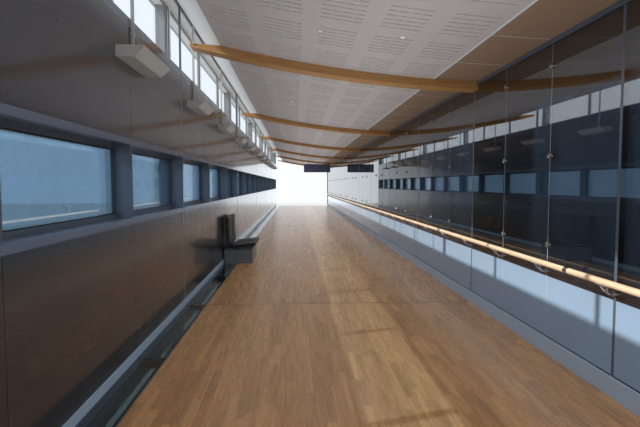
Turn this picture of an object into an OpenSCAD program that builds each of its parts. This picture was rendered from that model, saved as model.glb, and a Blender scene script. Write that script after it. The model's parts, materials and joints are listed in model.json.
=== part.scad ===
// Glazed passenger walkway, carried above ground on two rows of columns.
// Millimetres, +Z up, +Y along the walkway, ground at z = 0.

/* [Length] */
// Length of one bay, from roof beam to roof beam
bay_l = 6000; // [4800:120:7200]
// Number of whole bays
bays = 6; // [2:1:6]
// Run of the walkway past the first and the last beam
end_run = 400; // [400:10:600]
// Thickness of the frame that closes each end
end_frame_t = 60; // [30:5:90]
// Wall panels in one bay
panels_per_bay = 3; // [2:1:4]
// Glass panes of the screen in one bay, an even number
panes_per_bay = 6; // [4:2:8]

/* [Section] */
// Height of the walkway floor above the ground
floor_z = 4800; // [4000:50:6000]
// Width of the walkway, from the glass floor strip to the glass screen
walk_w = 3600; // [3000:50:4200]
// Width of the glass strip in the floor
strip_w = 275; // [220:5:340]
// Thickness of the outer wall
wall_t = 350; // [300:10:450]
// Overhang of the roof past the outer wall
left_eave = 90; // [80:10:480]
// Overhang of the roof past the glass screen
right_eave = 1515; // [1300:5:2100]

/* [Floor] */
// Thickness of the oak floor
oak_t = 22; // [16:1:30]
// Width of the metal joint across the floor at each beam
floor_joint_w = 24; // [12:2:40]
// Width of the metal edge along the oak floor
edge_trim_w = 15; // [8:1:25]
// Thickness of the glass floor panes
strip_glass_t = 30; // [20:2:36]
// Thickness of the concrete slab
slab_t = 140; // [110:10:200]
// Depth of the floor stringers
stringer_h = 200; // [160:10:260]
// Depth of the cross girders
girder_h = 400; // [300:10:500]
// Width of the cross girders
girder_w = 200; // [160:10:240]

/* [Columns] */
// Diameter of the concrete columns beside the screen
column_d = 700; // [560:10:740]
// Distance from the screen to the centres of those columns
column_off = 400; // [385:5:480]
// Diameter of the columns under the wall side
left_column_d = 450; // [360:10:560]
// Distance from the wall face to the centres of the columns under it
left_column_off = 225; // [100:5:400]

/* [Wall] */
// Height of the skirting
skirting_h = 78; // [60:2:120]
// Distance that the skirting stands proud of the panels
skirting_proud = 10; // [4:1:16]
// Thickness of the wall panels
panel_t = 25; // [16:1:32]
// Thickness of the outer cladding
cladding_t = 40; // [25:5:60]
// Height of the top of the lower panels
sill_z = 1240; // [1000:10:1400]
// Height of each trim band at the window
band_h = 55; // [40:5:80]
// Height of the underside of the upper panels
head_z = 2010; // [1800:10:2200]
// Height of the top of the upper panels
panel_top_z = 3000; // [2900:10:3020]
// Height of the underside of the high window
clere_z = 3080; // [3060:10:3140]
// Height of the top of the high window
clere_top_z = 3890; // [3700:10:3950]
// Width of the shadow joint between two panels
panel_joint = 5; // [3:1:10]
// Width of the shadow joint at each beam line
bay_joint = 18; // [12:2:30]
// Depth from the wall face to the window frame
window_recess = 135; // [100:5:150]
// Depth of the window frame
window_frame_t = 50; // [40:5:60]
// Width of the window frame's bars
window_bar = 40; // [30:5:60]
// Thickness of the window glass
window_glass_t = 24; // [16:2:30]
// Thickness of the fins that stand between the windows
fin_t = 25; // [16:1:40]
// Width of the steel posts inside the wall
post_w = 80; // [60:10:120]

/* [Wall lights] */
// Distance from one wall light to the next
light_pitch = 2650; // [2000:50:3000]
// Length of a wall light
light_l = 820; // [500:20:1000]
// Distance that a wall light stands out from the wall
light_out = 235; // [180:5:300]
// Height of the underside of the wall lights
light_z = 2655; // [2500:5:2700]
// Height of a wall light's body
light_h = 90; // [70:5:110]

/* [Screen] */
// Thickness of the screen glass
screen_t = 20; // [12:2:24]
// Height of the skirting channel under the screen
base_h = 150; // [130:5:200]
// Width of that channel
base_w = 76; // [60:2:80]
// Height of the solid panels behind the foot of the screen
backing_top_z = 730; // [600:10:800]
// Thickness of those panels
backing_t = 20; // [12:1:24]
// Width of the open joint between two panes
pane_joint = 8; // [8:1:14]
// Width of the dark posts in the screen
screen_post_w = 32; // [24:2:50]
// Diameter of the round patch fittings
patch_d = 56; // [40:2:80]
// Height of the lowest patch fittings
patch_low_z = 1030; // [950:10:1100]
// Height of the middle patch fittings
patch_mid_z = 1870; // [1700:10:2000]
// Height of the highest patch fittings
patch_high_z = 2700; // [2600:10:2740]
// Diameter of the timber handrail
rail_d = 52; // [40:2:60]
// Height of the centre of the handrail
rail_z = 870; // [840:5:950]
// Distance from the glass to the centre of the handrail
rail_off = 90; // [80:2:110]
// Diameter of the arms of a handrail bracket
arm_d = 18; // [12:1:24]

/* [Roof] */
// Radius of the curve under the beams
arc_r = 18500; // [15000:100:24000]
// Distance from the screen to the lowest point of that curve
arc_low_off = 600; // [400:50:800]
// Height of that lowest point above the floor
arc_low_z = 2835; // [2800:5:2900]
// Width of the glued timber beams
beam_w = 240; // [160:10:300]
// Depth of the beams that shows under the ceiling
beam_show = 100; // [60:5:140]
// Distance from the wall face to the tip of a beam
nose_gap = 139; // [120:1:180]
// Height of the tip of a beam
nose_h = 40; // [30:5:90]
// Height of the plate over the high window
plate_h = 150; // [120:10:200]
// Thickness of the ceiling panels
ceiling_t = 40; // [20:5:60]
// Distance from the wall face to the foot of the light scoop
scoop_w = 525; // [450:5:650]
// Distance from the screen to the joint in the ceiling
ceiling_joint_off = 600; // [400:20:900]
// Fall of the roof, rise over run
roof_fall = 0.12; // [0.08:0.01:0.13]
// Thickness of the roof deck
deck_t = 120; // [80:10:160]
// Thickness of the fascia boards
fascia_t = 60; // [40:5:80]
// Distance from the screen to the row of medium ceiling fittings
medium_spot_off = 1350; // [1250:10:1450]
// Distance from the screen to the row of small ceiling fittings
small_spot_off = 2150; // [2050:10:2250]
// Distance from the screen to the row of large ceiling fittings
large_spot_off = 2470; // [2390:10:2550]
// Diameter of the small ceiling fittings
small_spot_d = 70; // [50:5:80]
// Diameter of the medium ceiling fittings
medium_spot_d = 90; // [70:5:100]
// Diameter of the large ceiling fittings
large_spot_d = 110; // [90:5:130]

/* [Bench] */
// Length of the bench of two seats
bench_l = 1100; // [900:20:1300]
// Distance from the near end of the run to the bench
bench_y = 9400; // [7000:100:9600]
// Height of the front edge of the seat
seat_h = 430; // [400:5:470]
// Depth of the seat
seat_d = 520; // [440:10:560]
// Height of the top of the back
back_h = 970; // [900:10:1050]
// Thickness of the seat and back pads
pad_t = 60; // [40:5:80]

/* [Hanging sign] */
// Width of the sign
sign_w = 1460; // [1000:20:1600]
// Height of the sign
sign_h = 450; // [300:10:500]
// Depth of the sign
sign_t = 140; // [80:10:200]
// Height of the underside of the sign above the floor
sign_z = 2270; // [2200:10:2300]

/* [Hidden] */

// Small clearances and the plates of the rolled steel
post_gap = 5;
seam = 3;
seat_gap = 0.3;
web_t = 10;
flange_t = 16;

// Places along the walkway
run = bays * bay_l;
y_end = run / 2 + end_run;
y_in = y_end - end_frame_t;
panel_l = bay_l / panels_per_bay;
pane_l = bay_l / panes_per_bay;
panes_per_post = panes_per_bay / 2;

// Places across the walkway
total_w = left_eave + wall_t + strip_w + walk_w + right_eave;
roof_left_x = -total_w / 2;
roof_right_x = total_w / 2;
screen_x = roof_right_x - right_eave;
oak_x = screen_x - walk_w;
wall_x = oak_x - strip_w;
wall_out_x = wall_x - wall_t;
core_in_x = wall_x - panel_t;
core_out_x = wall_out_x + cladding_t;
frame_in_x = wall_x - window_recess;
frame_out_x = frame_in_x - window_frame_t;
post_in_x = frame_out_x - post_gap;
glass_in_x = frame_in_x - (window_frame_t - window_glass_t) / 2;
column_x = screen_x + column_off;
left_column_x = wall_x + left_column_off;
base_in_x = screen_x - base_w / 2;
slab_right_x = screen_x + base_w / 2 + 2;
joint_x = screen_x - ceiling_joint_off;
scoop_x = wall_x + scoop_w;
nose_x = wall_x + nose_gap;
beam_end_x = roof_right_x - fascia_t;
arc_low_x = screen_x + arc_low_off;

// Levels, measured from the walkway floor
slab_top = -oak_t;
slab_bottom = slab_top - slab_t;
girder_top = slab_bottom - stringer_h;
girder_bottom = girder_top - girder_h;
wall_foot = -50;
strip_foot = -strip_glass_t;

// Height of the curve under the beams, raised by a lift towards its centre
function arc_z(x, lift = 0) =
    arc_low_z + arc_r - sqrt(pow(arc_r - lift, 2) - pow(x - arc_low_x, 2));
function deck_under(x) = clere_top_z + plate_h - roof_fall * (x - wall_x);
function roof_z(x) = deck_under(x) + deck_t;
ceiling_top_r = arc_r - beam_show;
scoop_z = arc_z(scoop_x, beam_show);
function scoop_under(x) =
    clere_top_z - (x - wall_x) * (clere_top_z - scoop_z) / scoop_w;

// A box between two corners, with heights measured from the floor
module block(x, y, z) {
    translate([x[0], y[0], floor_z + z[0]])
        cube([x[1] - x[0], y[1] - y[0], z[1] - z[0]]);
}

// An outline in X and Z, drawn out along the walkway
module along_y(y0, y1) {
    translate([0, y1, floor_z])
        rotate([90, 0, 0])
            linear_extrude(height = y1 - y0)
                children();
}

// A solid cylinder along the walkway about the centre of the beams' curve
module arc_cylinder(r, y0, y1) {
    translate([arc_low_x, y1, floor_z + arc_low_z + arc_r])
        rotate([90, 0, 0])
            cylinder(h = y1 - y0, r = r, $fn = 720);
}

// Repeats its children between joints, with $y0 and $y1 as their two ends
module between_joints(pitch, gap, wide_gap, every) {
    count = round(run / pitch);
    for (k = [-1 : count]) {
        $y0 = k < 0 ? -y_in : k * pitch - run / 2 + (k % every == 0 ? wide_gap : gap) / 2;
        $y1 = k == count ? y_in
            : (k + 1) * pitch - run / 2 - ((k + 1) % every == 0 ? wide_gap : gap) / 2;
        children();
    }
}

// Repeats its children at each beam line
module at_beam_lines() {
    for (k = [0 : bays])
        translate([0, k * bay_l - run / 2, 0])
            children();
}

// Repeats its children at each line of a finer grid, ends included
module at_lines(pitch) {
    count = round(run / pitch);
    for (k = [0 : count])
        translate([0, k * pitch - run / 2, 0])
            children();
}

// Outline of a rolled steel beam, standing on y = 0
module steel_outline(w, h) {
    translate([-w / 2, 0]) square([w, flange_t]);
    translate([-w / 2, h - flange_t]) square([w, flange_t]);
    translate([-web_t / 2, 0]) square([web_t, h]);
}

module steel_along_y(x, z, w, h) {
    along_y(-y_in, y_in)
        translate([x, z])
            steel_outline(w, h);
}

module right_columns() {
    color("#b9b8b4")
        at_beam_lines()
            translate([column_x, 0, 0])
                cylinder(h = floor_z + arc_low_z - shoe_h, d = column_d, $fn = 96);
}

cap_t = 25;
cap_rim = 20;
module left_columns() {
    color("#b9b8b4")
        at_beam_lines()
            translate([left_column_x, 0, 0])
                cylinder(h = floor_z + girder_bottom - cap_t, d = left_column_d, $fn = 96);
}

// Steel collars with seats for the cross girders, and caps on the other columns
collar_t = 20;
collar_h = 280;
seat_l = 400;
gusset_t = 15;
girder_gap = 20;
module column_bracket() {
    seat_x = column_x - column_d / 2;
    difference() {
        union() {
            translate([column_x, 0, floor_z + girder_bottom - collar_h])
                cylinder(h = collar_h, d = column_d + 2 * collar_t, $fn = 96);
            block([seat_x - seat_l, column_x], [-girder_w / 2, girder_w / 2],
                  [girder_bottom - cap_t, girder_bottom]);
            for (side = [-1, 1])
                translate([0, side * girder_w / 4 + gusset_t / 2, floor_z])
                    rotate([90, 0, 0])
                        linear_extrude(height = gusset_t)
                            polygon([
                                [seat_x - seat_l + cap_t, girder_bottom - cap_t],
                                [seat_x + collar_t, girder_bottom - cap_t],
                                [seat_x + collar_t, girder_bottom - collar_h],
                                [seat_x - collar_t, girder_bottom - collar_h]
                            ]);
        }
        translate([column_x, 0, floor_z + girder_bottom - collar_h - 1])
            cylinder(h = collar_h + 2, d = column_d, $fn = 96);
    }
}

module column_brackets() {
    color("#8f9499")
        at_beam_lines() {
            column_bracket();
            translate([left_column_x, 0, floor_z + girder_bottom - cap_t])
                cylinder(h = cap_t, d = left_column_d + 2 * cap_rim, $fn = 64);
        }
}

module cross_girders() {
    girder_start = wall_x - wall_t / 2 - girder_w / 2;
    girder_end = column_x - column_d / 2 - girder_gap;
    color("#8f9499")
        at_beam_lines()
            translate([girder_start, 0, floor_z + girder_bottom])
                rotate([90, 0, 90])
                    linear_extrude(height = girder_end - girder_start)
                        steel_outline(girder_w, girder_h);
}

edge_girder_w = 200;
module edge_girder() {
    color("#8f9499")
        steel_along_y(wall_x - wall_t / 2, girder_top, edge_girder_w, wall_foot - girder_top);
}

stringers = 4;
stringer_w = 100;
stringer_inset = 70;
module floor_stringers() {
    first = oak_x + stringer_inset;
    step = (slab_right_x - stringer_inset - first) / (stringers - 1);
    color("#8f9499")
        for (k = [0 : stringers - 1])
            steel_along_y(first + k * step, girder_top, stringer_w, stringer_h);
}

module deck_slab() {
    color("#a9a9a5")
        block([oak_x, slab_right_x], [-y_in, y_in], [slab_bottom, slab_top]);
}

module oak_floor() {
    color("#b98a5a")
        between_joints(bay_l, floor_joint_w, floor_joint_w, 1)
            block([oak_x + edge_trim_w, base_in_x], [$y0, $y1], [slab_top, 0]);
}

// Metal joints across the oak at each beam, and the edge along the glass strip
module floor_trims() {
    color("#c9cbc9") {
        block([oak_x, oak_x + edge_trim_w], [-y_in, y_in], [slab_top, 0]);
        at_beam_lines()
            block([oak_x + edge_trim_w, base_in_x],
                  [-floor_joint_w / 2, floor_joint_w / 2], [slab_top, 0]);
    }
}

module glass_floor() {
    color("#7fb5b0", 0.5)
        between_joints(panel_l, seam, seam, 1)
            block([wall_x + skirting_proud, oak_x], [$y0, $y1], [strip_foot, 0]);
}

// Bars under the glass strip, from the edge girder to the slab
bearer_w = 60;
bearer_h = 60;
ledge_w = 45;
ledge_t = 12;
module glass_floor_bearers() {
    girder_edge = wall_x - wall_t / 2 + edge_girder_w / 2;
    color("#8f9499") {
        block([core_in_x, core_in_x + panel_t + ledge_w], [-y_in, y_in],
              [strip_foot - ledge_t, strip_foot]);
        block([oak_x - ledge_w, oak_x], [-y_in, y_in], [strip_foot - ledge_t, strip_foot]);
        at_lines(panel_l)
            block([core_in_x, oak_x], [-bearer_w / 2, bearer_w / 2],
                  [strip_foot - bearer_h, strip_foot]);
        at_lines(panel_l)
            block([girder_edge, core_in_x], [-bearer_w / 2, bearer_w / 2],
                  [strip_foot - bearer_h, wall_foot]);
    }
}

module facade_posts() {
    color("#8f9499")
        at_beam_lines()
            block([core_out_x, post_in_x], [-post_w / 2, post_w / 2], [wall_foot, clere_top_z]);
}

module wall_core(z0, z1) {
    between_joints(bay_l, post_w, post_w, 1)
        block([core_out_x, core_in_x], [$y0, $y1], [z0, z1]);
}

module lower_wall() {
    color("#c8c8c4") wall_core(wall_foot, sill_z);
}

// Wall over the long window, and the plate that carries the roof
module upper_wall() {
    color("#c8c8c4") {
        wall_core(head_z, clere_z);
        along_y(-y_in, y_in)
            polygon([
                [core_out_x, clere_top_z], [wall_x, clere_top_z],
                [wall_x, deck_under(wall_x)], [core_out_x, deck_under(core_out_x)]
            ]);
    }
}

cladding_joint = 10;
module outer_cladding() {
    color("#9aa1a6")
        between_joints(panel_l, cladding_joint, cladding_joint, 1) {
            block([wall_out_x, core_out_x], [$y0, $y1], [girder_top, sill_z]);
            block([wall_out_x, core_out_x], [$y0, $y1], [head_z, clere_z]);
            block([wall_out_x, core_out_x], [$y0, $y1],
                  [clere_top_z, deck_under(core_out_x) - seam]);
        }
}

module skirting() {
    color("#b5b6b3")
        block([core_in_x, wall_x + skirting_proud], [-y_in, y_in], [strip_foot, skirting_h]);
}

module lower_panels() {
    color("#6b655f")
        between_joints(panel_l, panel_joint, bay_joint, panels_per_bay)
            block([core_in_x, wall_x], [$y0, $y1], [skirting_h, sill_z]);
}

module upper_panels() {
    color("#77726c")
        between_joints(panel_l, panel_joint, bay_joint, panels_per_bay)
            block([core_in_x, wall_x], [$y0, $y1], [head_z, panel_top_z]);
}

// Boards that line the long window at its foot and head, and a cap over the wall
module reveal_board(z0, z1) {
    between_joints(bay_l, bay_joint, bay_joint, 1)
        block([post_in_x, wall_x], [$y0, $y1], [z0, z1]);
    between_joints(bay_l, post_w, post_w, 1)
        block([core_out_x, post_in_x], [$y0, $y1], [z0, z1]);
}

module wall_bands() {
    color("#c3cdd6") {
        reveal_board(sill_z, sill_z + band_h);
        reveal_board(head_z - band_h, head_z);
        between_joints(bay_l, bay_joint, bay_joint, 1)
            block([core_in_x, wall_x], [$y0, $y1], [panel_top_z, clere_z]);
    }
}

// Frame bars in one plane, with uprights on the panel grid
module window_grid(z0, z1) {
    block([frame_out_x, frame_in_x], [-y_in, y_in], [z0, z0 + window_bar]);
    block([frame_out_x, frame_in_x], [-y_in, y_in], [z1 - window_bar, z1]);
    at_lines(panel_l)
        block([frame_out_x, frame_in_x], [-window_bar / 2, window_bar / 2], [z0, z1]);
}

module window_panes(z0, z1) {
    between_joints(panel_l, window_bar, window_bar, 1)
        block([glass_in_x - window_glass_t, glass_in_x], [$y0, $y1],
              [z0 + window_bar, z1 - window_bar]);
}

// The long window with its fins, and the thin dark trim round each high window
trim_t = 25;
module window_frames() {
    color("#4d5358") {
        window_grid(sill_z + band_h, head_z - band_h);
        at_lines(panel_l)
            block([frame_in_x + seat_gap, wall_x], [-fin_t / 2, fin_t / 2],
                  [sill_z + band_h, head_z - band_h]);
        block([wall_x - trim_t, wall_x], [-y_in, y_in], [clere_top_z - trim_t, clere_top_z]);
        at_beam_lines()
            block([wall_x - trim_t, wall_x], [-bay_joint / 2, bay_joint / 2],
                  [clere_z, clere_top_z - trim_t]);
    }
}

module window_glass() {
    color("#9fc3de", 0.5) window_panes(sill_z + band_h, head_z - band_h);
}

module high_window_frames() {
    color("#9aa0a4") window_grid(clere_z, clere_top_z);
}

module high_window_glass() {
    color("#e6eef2", 0.5) window_panes(clere_z, clere_top_z);
}

// Wall lights: trays that throw light up, each with a slim stem over it
light_first = 1000;
light_count = floor((run - light_first - light_l) / light_pitch) + 1;
tray_wall = 20;
tray_floor = 0.75 * light_h;
lens_t = 12;
stem_w = 25;
module at_lights() {
    for (k = [0 : light_count - 1])
        translate([wall_x, light_first + k * light_pitch - run / 2, floor_z + light_z])
            children();
}

module tray_inside(h) {
    translate([stem_w + tray_wall, tray_wall, tray_floor])
        cube([light_out - stem_w - 2 * tray_wall, light_l - 2 * tray_wall, h]);
}

module wall_lights() {
    stem_foot = light_h + seat_gap;
    stem_top = scoop_under(wall_x + stem_w) - seat_gap - light_z;
    color("#cfd0cd")
        at_lights() {
            difference() {
                translate([0, light_l, 0])
                    rotate([90, 0, 0])
                        linear_extrude(height = light_l)
                            polygon([
                                [0, 0], [0.62 * light_out, 0], [light_out, 0.8 * light_h],
                                [light_out, light_h], [0, light_h]
                            ]);
                tray_inside(light_h);
            }
            translate([0, (light_l - stem_w) / 2, stem_foot])
                cube([stem_w, stem_w, stem_top - stem_foot]);
        }
}

module light_lenses() {
    color("white")
        at_lights() tray_inside(lens_t);
}

// Channel that holds the foot of the screen, with a groove for the glass
groove_z = 110;
module screen_base() {
    groove = screen_t / 2 + 1;
    color("#b9c3cb")
        along_y(-y_in, y_in)
            polygon([
                [base_in_x, slab_top], [screen_x + base_w / 2, slab_top],
                [screen_x + base_w / 2, base_h], [screen_x + groove, base_h],
                [screen_x + groove, groove_z], [screen_x - groove, groove_z],
                [screen_x - groove, base_h], [base_in_x, base_h]
            ]);
}

top_channel_w = 60;
top_channel_h = 40;
beam_clear = 5;
screen_top = arc_z(screen_x + top_channel_w / 2, beam_show) - seat_gap;
module screen_glass() {
    color("#bcd4d8", 0.4)
        difference() {
            between_joints(pane_l, pane_joint, screen_post_w, panes_per_post)
                block([screen_x - screen_t / 2, screen_x + screen_t / 2], [$y0, $y1],
                      [groove_z, screen_top - top_channel_h / 2]);
            at_beam_lines()
                block([screen_x - screen_t, screen_x + screen_t],
                      [-beam_w / 2 - beam_clear, beam_w / 2 + beam_clear],
                      [arc_z(screen_x + screen_t) - beam_clear, screen_top]);
        }
}

module screen_post(top) {
    block([screen_x - screen_t / 2, screen_x + base_w / 2],
          [-screen_post_w / 2, screen_post_w / 2], [base_h, top]);
}

// Head channel between the beams, and the dark posts on every half bay
module screen_frame() {
    groove = screen_t / 2 + 1;
    half = top_channel_w / 2;
    foot = screen_top - top_channel_h;
    color("#3d4246") {
        between_joints(bay_l, beam_w, beam_w, 1)
            along_y($y0, $y1)
                polygon([
                    [screen_x - half, screen_top], [screen_x + half, screen_top],
                    [screen_x + half, foot], [screen_x + groove, foot],
                    [screen_x + groove, screen_top - top_channel_h / 2],
                    [screen_x - groove, screen_top - top_channel_h / 2],
                    [screen_x - groove, foot], [screen_x - half, foot]
                ]);
        at_beam_lines()
            screen_post(arc_z(screen_x + base_w / 2) - seat_gap);
        for (k = [0 : bays - 1])
            translate([0, (k + 0.5) * bay_l - run / 2, 0])
                screen_post(foot - seat_gap);
    }
}

// Round clamps on both faces of the glass, joined through the open joint
patch_t = 14;
module patch_fittings() {
    color("#a9adb0")
        for (k = [0 : bays * panes_per_bay])
            if (k % panes_per_post != 0)
                for (z = [patch_low_z, patch_mid_z, patch_high_z])
                    translate([screen_x, k * pane_l - run / 2, floor_z + z])
                        rotate([0, 90, 0]) {
                            translate([0, 0, screen_t / 2]) cylinder(h = patch_t, d = patch_d, $fn = 32);
                            translate([0, 0, -screen_t / 2 - patch_t])
                                cylinder(h = patch_t, d = patch_d, $fn = 32);
                            translate([0, 0, -screen_t / 2])
                                cylinder(h = screen_t, d = pane_joint - 2, $fn = 16);
                        }
}

module backing_panels() {
    back_x = screen_x + base_w / 2;
    front_x = max(back_x - backing_t, screen_x + screen_t / 2 + seam);
    color("#8fa0ad")
        between_joints(pane_l, seam, screen_post_w + seam, panes_per_post)
            block([front_x, back_x], [$y0, $y1], [base_h, backing_top_z]);
}

rail_x = screen_x - screen_t / 2 - rail_off;
rail_gap = 20;
module handrail() {
    rail_end = y_in - rail_gap;
    color("#a5714a")
        translate([rail_x, rail_end, floor_z + rail_z])
            rotate([90, 0, 0])
                cylinder(h = 2 * rail_end, d = rail_d, $fn = 48);
}

// Cast bracket: a boss on the glass, two arms that sweep out and up, and a saddle
boss_d = 50;
boss_t = 12;
saddle_l = 150;
saddle_t = 5;
arm_splay = 35;
module rail_bracket() {
    sweep_r = rail_off - boss_t;
    boss_x = screen_x - screen_t / 2 - boss_t;
    reach = rail_d / 2 + saddle_t / 2;
    boss_z = rail_z - reach - sweep_r * cos(arm_splay);
    translate([boss_x, 0, floor_z + boss_z])
        rotate([0, 90, 0])
            cylinder(h = boss_t, d = boss_d, $fn = 32);
    for (side = [-1, 1])
        translate([boss_x, 0, floor_z + boss_z])
            rotate([side * arm_splay, 0, 0])
                translate([0, 0, sweep_r])
                    rotate([90, 0, 180])
                        rotate([0, 0, -90])
                            rotate_extrude(angle = 90, $fn = 48)
                                translate([sweep_r, 0])
                                    circle(d = arm_d, $fn = 16);
    translate([rail_x, saddle_l / 2, floor_z + rail_z])
        rotate([90, 0, 0])
            linear_extrude(height = saddle_l)
                difference() {
                    circle(d = rail_d + 2 * saddle_t, $fn = 48);
                    circle(d = rail_d, $fn = 48);
                    translate([-rail_d, -0.35 * rail_d]) square([2 * rail_d, 2 * rail_d]);
                }
}

module rail_brackets() {
    color("#b8bbbd") at_lines(pane_l) rail_bracket();
}

// Glued timber beam: curved underside, top along the roof, and a thin free nose
// that runs on below the light scoop
cheek_t = 10;
module beam(y0, y1) {
    low = arc_low_z - beam_show;
    start_x = wall_x + cheek_t;
    step_x = scoop_x + seat_gap;
    over_scoop = ceiling_t + seat_gap;
    intersection() {
        along_y(y0, y1)
            polygon([
                [nose_x, low], [beam_end_x, low],
                [beam_end_x, deck_under(beam_end_x)],
                [start_x, deck_under(start_x)],
                [start_x, scoop_under(start_x) + over_scoop],
                [step_x, scoop_z + over_scoop],
                [step_x, scoop_z - seat_gap],
                [nose_x, arc_z(nose_x) + nose_h]
            ]);
        arc_cylinder(arc_r, y0 - 1, y1 + 1);
    }
}

module glulam_beams() {
    color("#c08d55")
        at_beam_lines()
            beam(-beam_w / 2, beam_w / 2);
}

// Steel at both seats of a beam: a shoe on the wall plate and a head on the column
shoe_h = 45;
cheek_l = 150;
module beam_shoes() {
    shoe_z = [clere_top_z + ceiling_t + seam, deck_under(wall_x + cheek_l) - seam];
    color("#8f9499")
        at_beam_lines() {
            block([wall_x, wall_x + cheek_t],
                  [-beam_w / 2 - cheek_t, beam_w / 2 + cheek_t], shoe_z);
            for (side = [-1, 1])
                translate([0, side * (beam_w + cheek_t) / 2, 0])
                    block([wall_x, wall_x + cheek_l], [-cheek_t / 2, cheek_t / 2], shoe_z);
            translate([column_x, 0, floor_z + arc_low_z - shoe_h])
                cylinder(h = shoe_h, d = 0.75 * column_d, $fn = 96);
        }
}

// A curved sheet that follows the beams, from x0 to x1
arc_step = 150;
function arc_points(x0, x1, lift) =
    let (n = ceil(abs(x1 - x0) / arc_step))
    [for (k = [0 : n]) let (x = x0 + (x1 - x0) * k / n) [x, arc_z(x, lift)]];

module ceiling_sheet(x0, x1, y0, y1) {
    along_y(y0, y1)
        polygon(concat(
            arc_points(x0, x1, beam_show),
            arc_points(x1, x0, beam_show + ceiling_t)
        ));
}

module main_ceiling() {
    color("#d9d7d0")
        between_joints(bay_l, beam_w, beam_w, 1)
            ceiling_sheet(scoop_x, joint_x - seam, $y0, $y1);
}

module plain_ceiling() {
    color("#bdbcb8")
        between_joints(bay_l, beam_w, beam_w, 1) {
            ceiling_sheet(joint_x, screen_x - seam, $y0, $y1);
            ceiling_sheet(screen_x, beam_end_x, $y0, $y1);
        }
}

// Sloped sheet that leads daylight from the high window to the ceiling
module light_scoop() {
    color("#e8e8e4")
        along_y(-y_in, y_in)
            polygon([
                [scoop_x, scoop_z], [wall_x, clere_top_z],
                [wall_x, clere_top_z + ceiling_t], [scoop_x, scoop_z + ceiling_t]
            ]);
}

module roof_deck() {
    color("#8a8f93")
        along_y(-y_in, y_in)
            polygon([
                [roof_left_x + fascia_t, deck_under(roof_left_x + fascia_t)],
                [beam_end_x, deck_under(beam_end_x)],
                [beam_end_x, roof_z(beam_end_x)],
                [roof_left_x + fascia_t, roof_z(roof_left_x + fascia_t)]
            ]);
}

// Fascia boards along both edges of the roof
fascia_drop = 20;
module roof_edges() {
    high_foot = deck_under(roof_left_x) - fascia_drop;
    low_foot = arc_z(beam_end_x, beam_show) - fascia_drop;
    color("#9aa1a6") {
        block([roof_left_x, roof_left_x + fascia_t], [-y_in, y_in],
              [high_foot, roof_z(roof_left_x)]);
        block([beam_end_x, roof_right_x], [-y_in, y_in], [low_foot, roof_z(roof_right_x)]);
    }
}

// Flat frames that close the wall, the floor and the roof space at each end
jamb_w = 40;
module end_outline() {
    difference() {
        polygon([
            [wall_out_x, girder_top], [slab_right_x, girder_top],
            [slab_right_x, arc_z(slab_right_x, beam_show)],
            [beam_end_x, arc_z(beam_end_x, beam_show)],
            [beam_end_x, roof_z(beam_end_x)],
            [wall_out_x, roof_z(wall_out_x)]
        ]);
        polygon(concat(
            [[wall_x, 0], [screen_x - jamb_w, 0]],
            arc_points(screen_x - jamb_w, scoop_x, beam_show),
            [[wall_x, clere_top_z]]
        ));
    }
}

module end_frames() {
    color("#7d848a")
        for (y0 = [-y_end, y_in])
            along_y(y0, y0 + end_frame_t)
                end_outline();
}

// Bench of two seats against the wall: a bent shell on one box leg
bench_near = bench_y - run / 2;
bench_gap = 40;
back_depth = 110;
shell_t = 20;
pan_drop = 60;
shell_lean = 25;
shell_edge = 30;
leg_inset = 30;
leg_back_off = 80;
leg_end = 40;
foot_h = 40;
seat_front_x = wall_x + bench_gap + back_depth + seat_d;
pan_front_x = seat_front_x - shell_edge;
pan_back_x = wall_x + bench_gap + shell_t + shell_lean;
shell_top_z = back_h - shell_edge;

// Top face of the seat pan and front face of the back
function pan_z(x) =
    seat_h - pad_t - pan_drop * (pan_front_x - x) / (pan_front_x - pan_back_x);
function back_x(z) =
    pan_back_x - shell_lean * (z - pan_z(pan_back_x)) / (shell_top_z - pan_z(pan_back_x));

module bench_shell() {
    polygon([
        [pan_front_x, pan_z(pan_front_x)],
        [pan_back_x, pan_z(pan_back_x)],
        [back_x(shell_top_z), shell_top_z],
        [back_x(shell_top_z) - shell_t, shell_top_z],
        [pan_back_x - shell_t, pan_z(pan_back_x - shell_t) - shell_t],
        [pan_front_x, pan_z(pan_front_x) - shell_t]
    ]);
}

module bench_frame() {
    leg_back = oak_x + edge_trim_w + leg_inset;
    leg_front = seat_front_x - leg_back_off;
    color("#2f3133") {
        along_y(bench_near, bench_near + bench_l)
            bench_shell();
        along_y(bench_near + leg_end, bench_near + bench_l - leg_end)
            polygon([
                [leg_back, foot_h], [leg_front, foot_h],
                [leg_front, pan_z(leg_front) - shell_t], [leg_back, pan_z(leg_back) - shell_t]
            ]);
        block([leg_back + leg_inset, leg_front - leg_inset],
              [bench_near + 2 * leg_end, bench_near + bench_l - 2 * leg_end], [0, foot_h]);
    }
}

module bench_pads() {
    half = bench_l / 2;
    pad_gap = 4;
    seat_start = pan_back_x + pad_t + pad_gap;
    back_foot = pan_z(pan_back_x) + shell_t;
    color("#232427")
        for (k = [0, 1])
            along_y(bench_near + k * half + pad_gap, bench_near + (k + 1) * half - pad_gap) {
                polygon([
                    [seat_start, pan_z(seat_start) + seat_gap],
                    [pan_front_x, pan_z(pan_front_x) + seat_gap],
                    [seat_front_x, seat_h - pad_t + seat_gap],
                    [seat_front_x, seat_h],
                    [seat_start, pan_z(seat_start) + pad_t]
                ]);
                polygon([
                    [back_x(back_foot) + seat_gap, back_foot],
                    [back_x(back_foot) + pad_t, back_foot],
                    [back_x(back_h) + pad_t, back_h],
                    [back_x(shell_top_z) - shell_t, back_h],
                    [back_x(shell_top_z) - shell_t, shell_top_z + seat_gap],
                    [back_x(shell_top_z) + seat_gap, shell_top_z + seat_gap]
                ]);
            }
}

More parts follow.
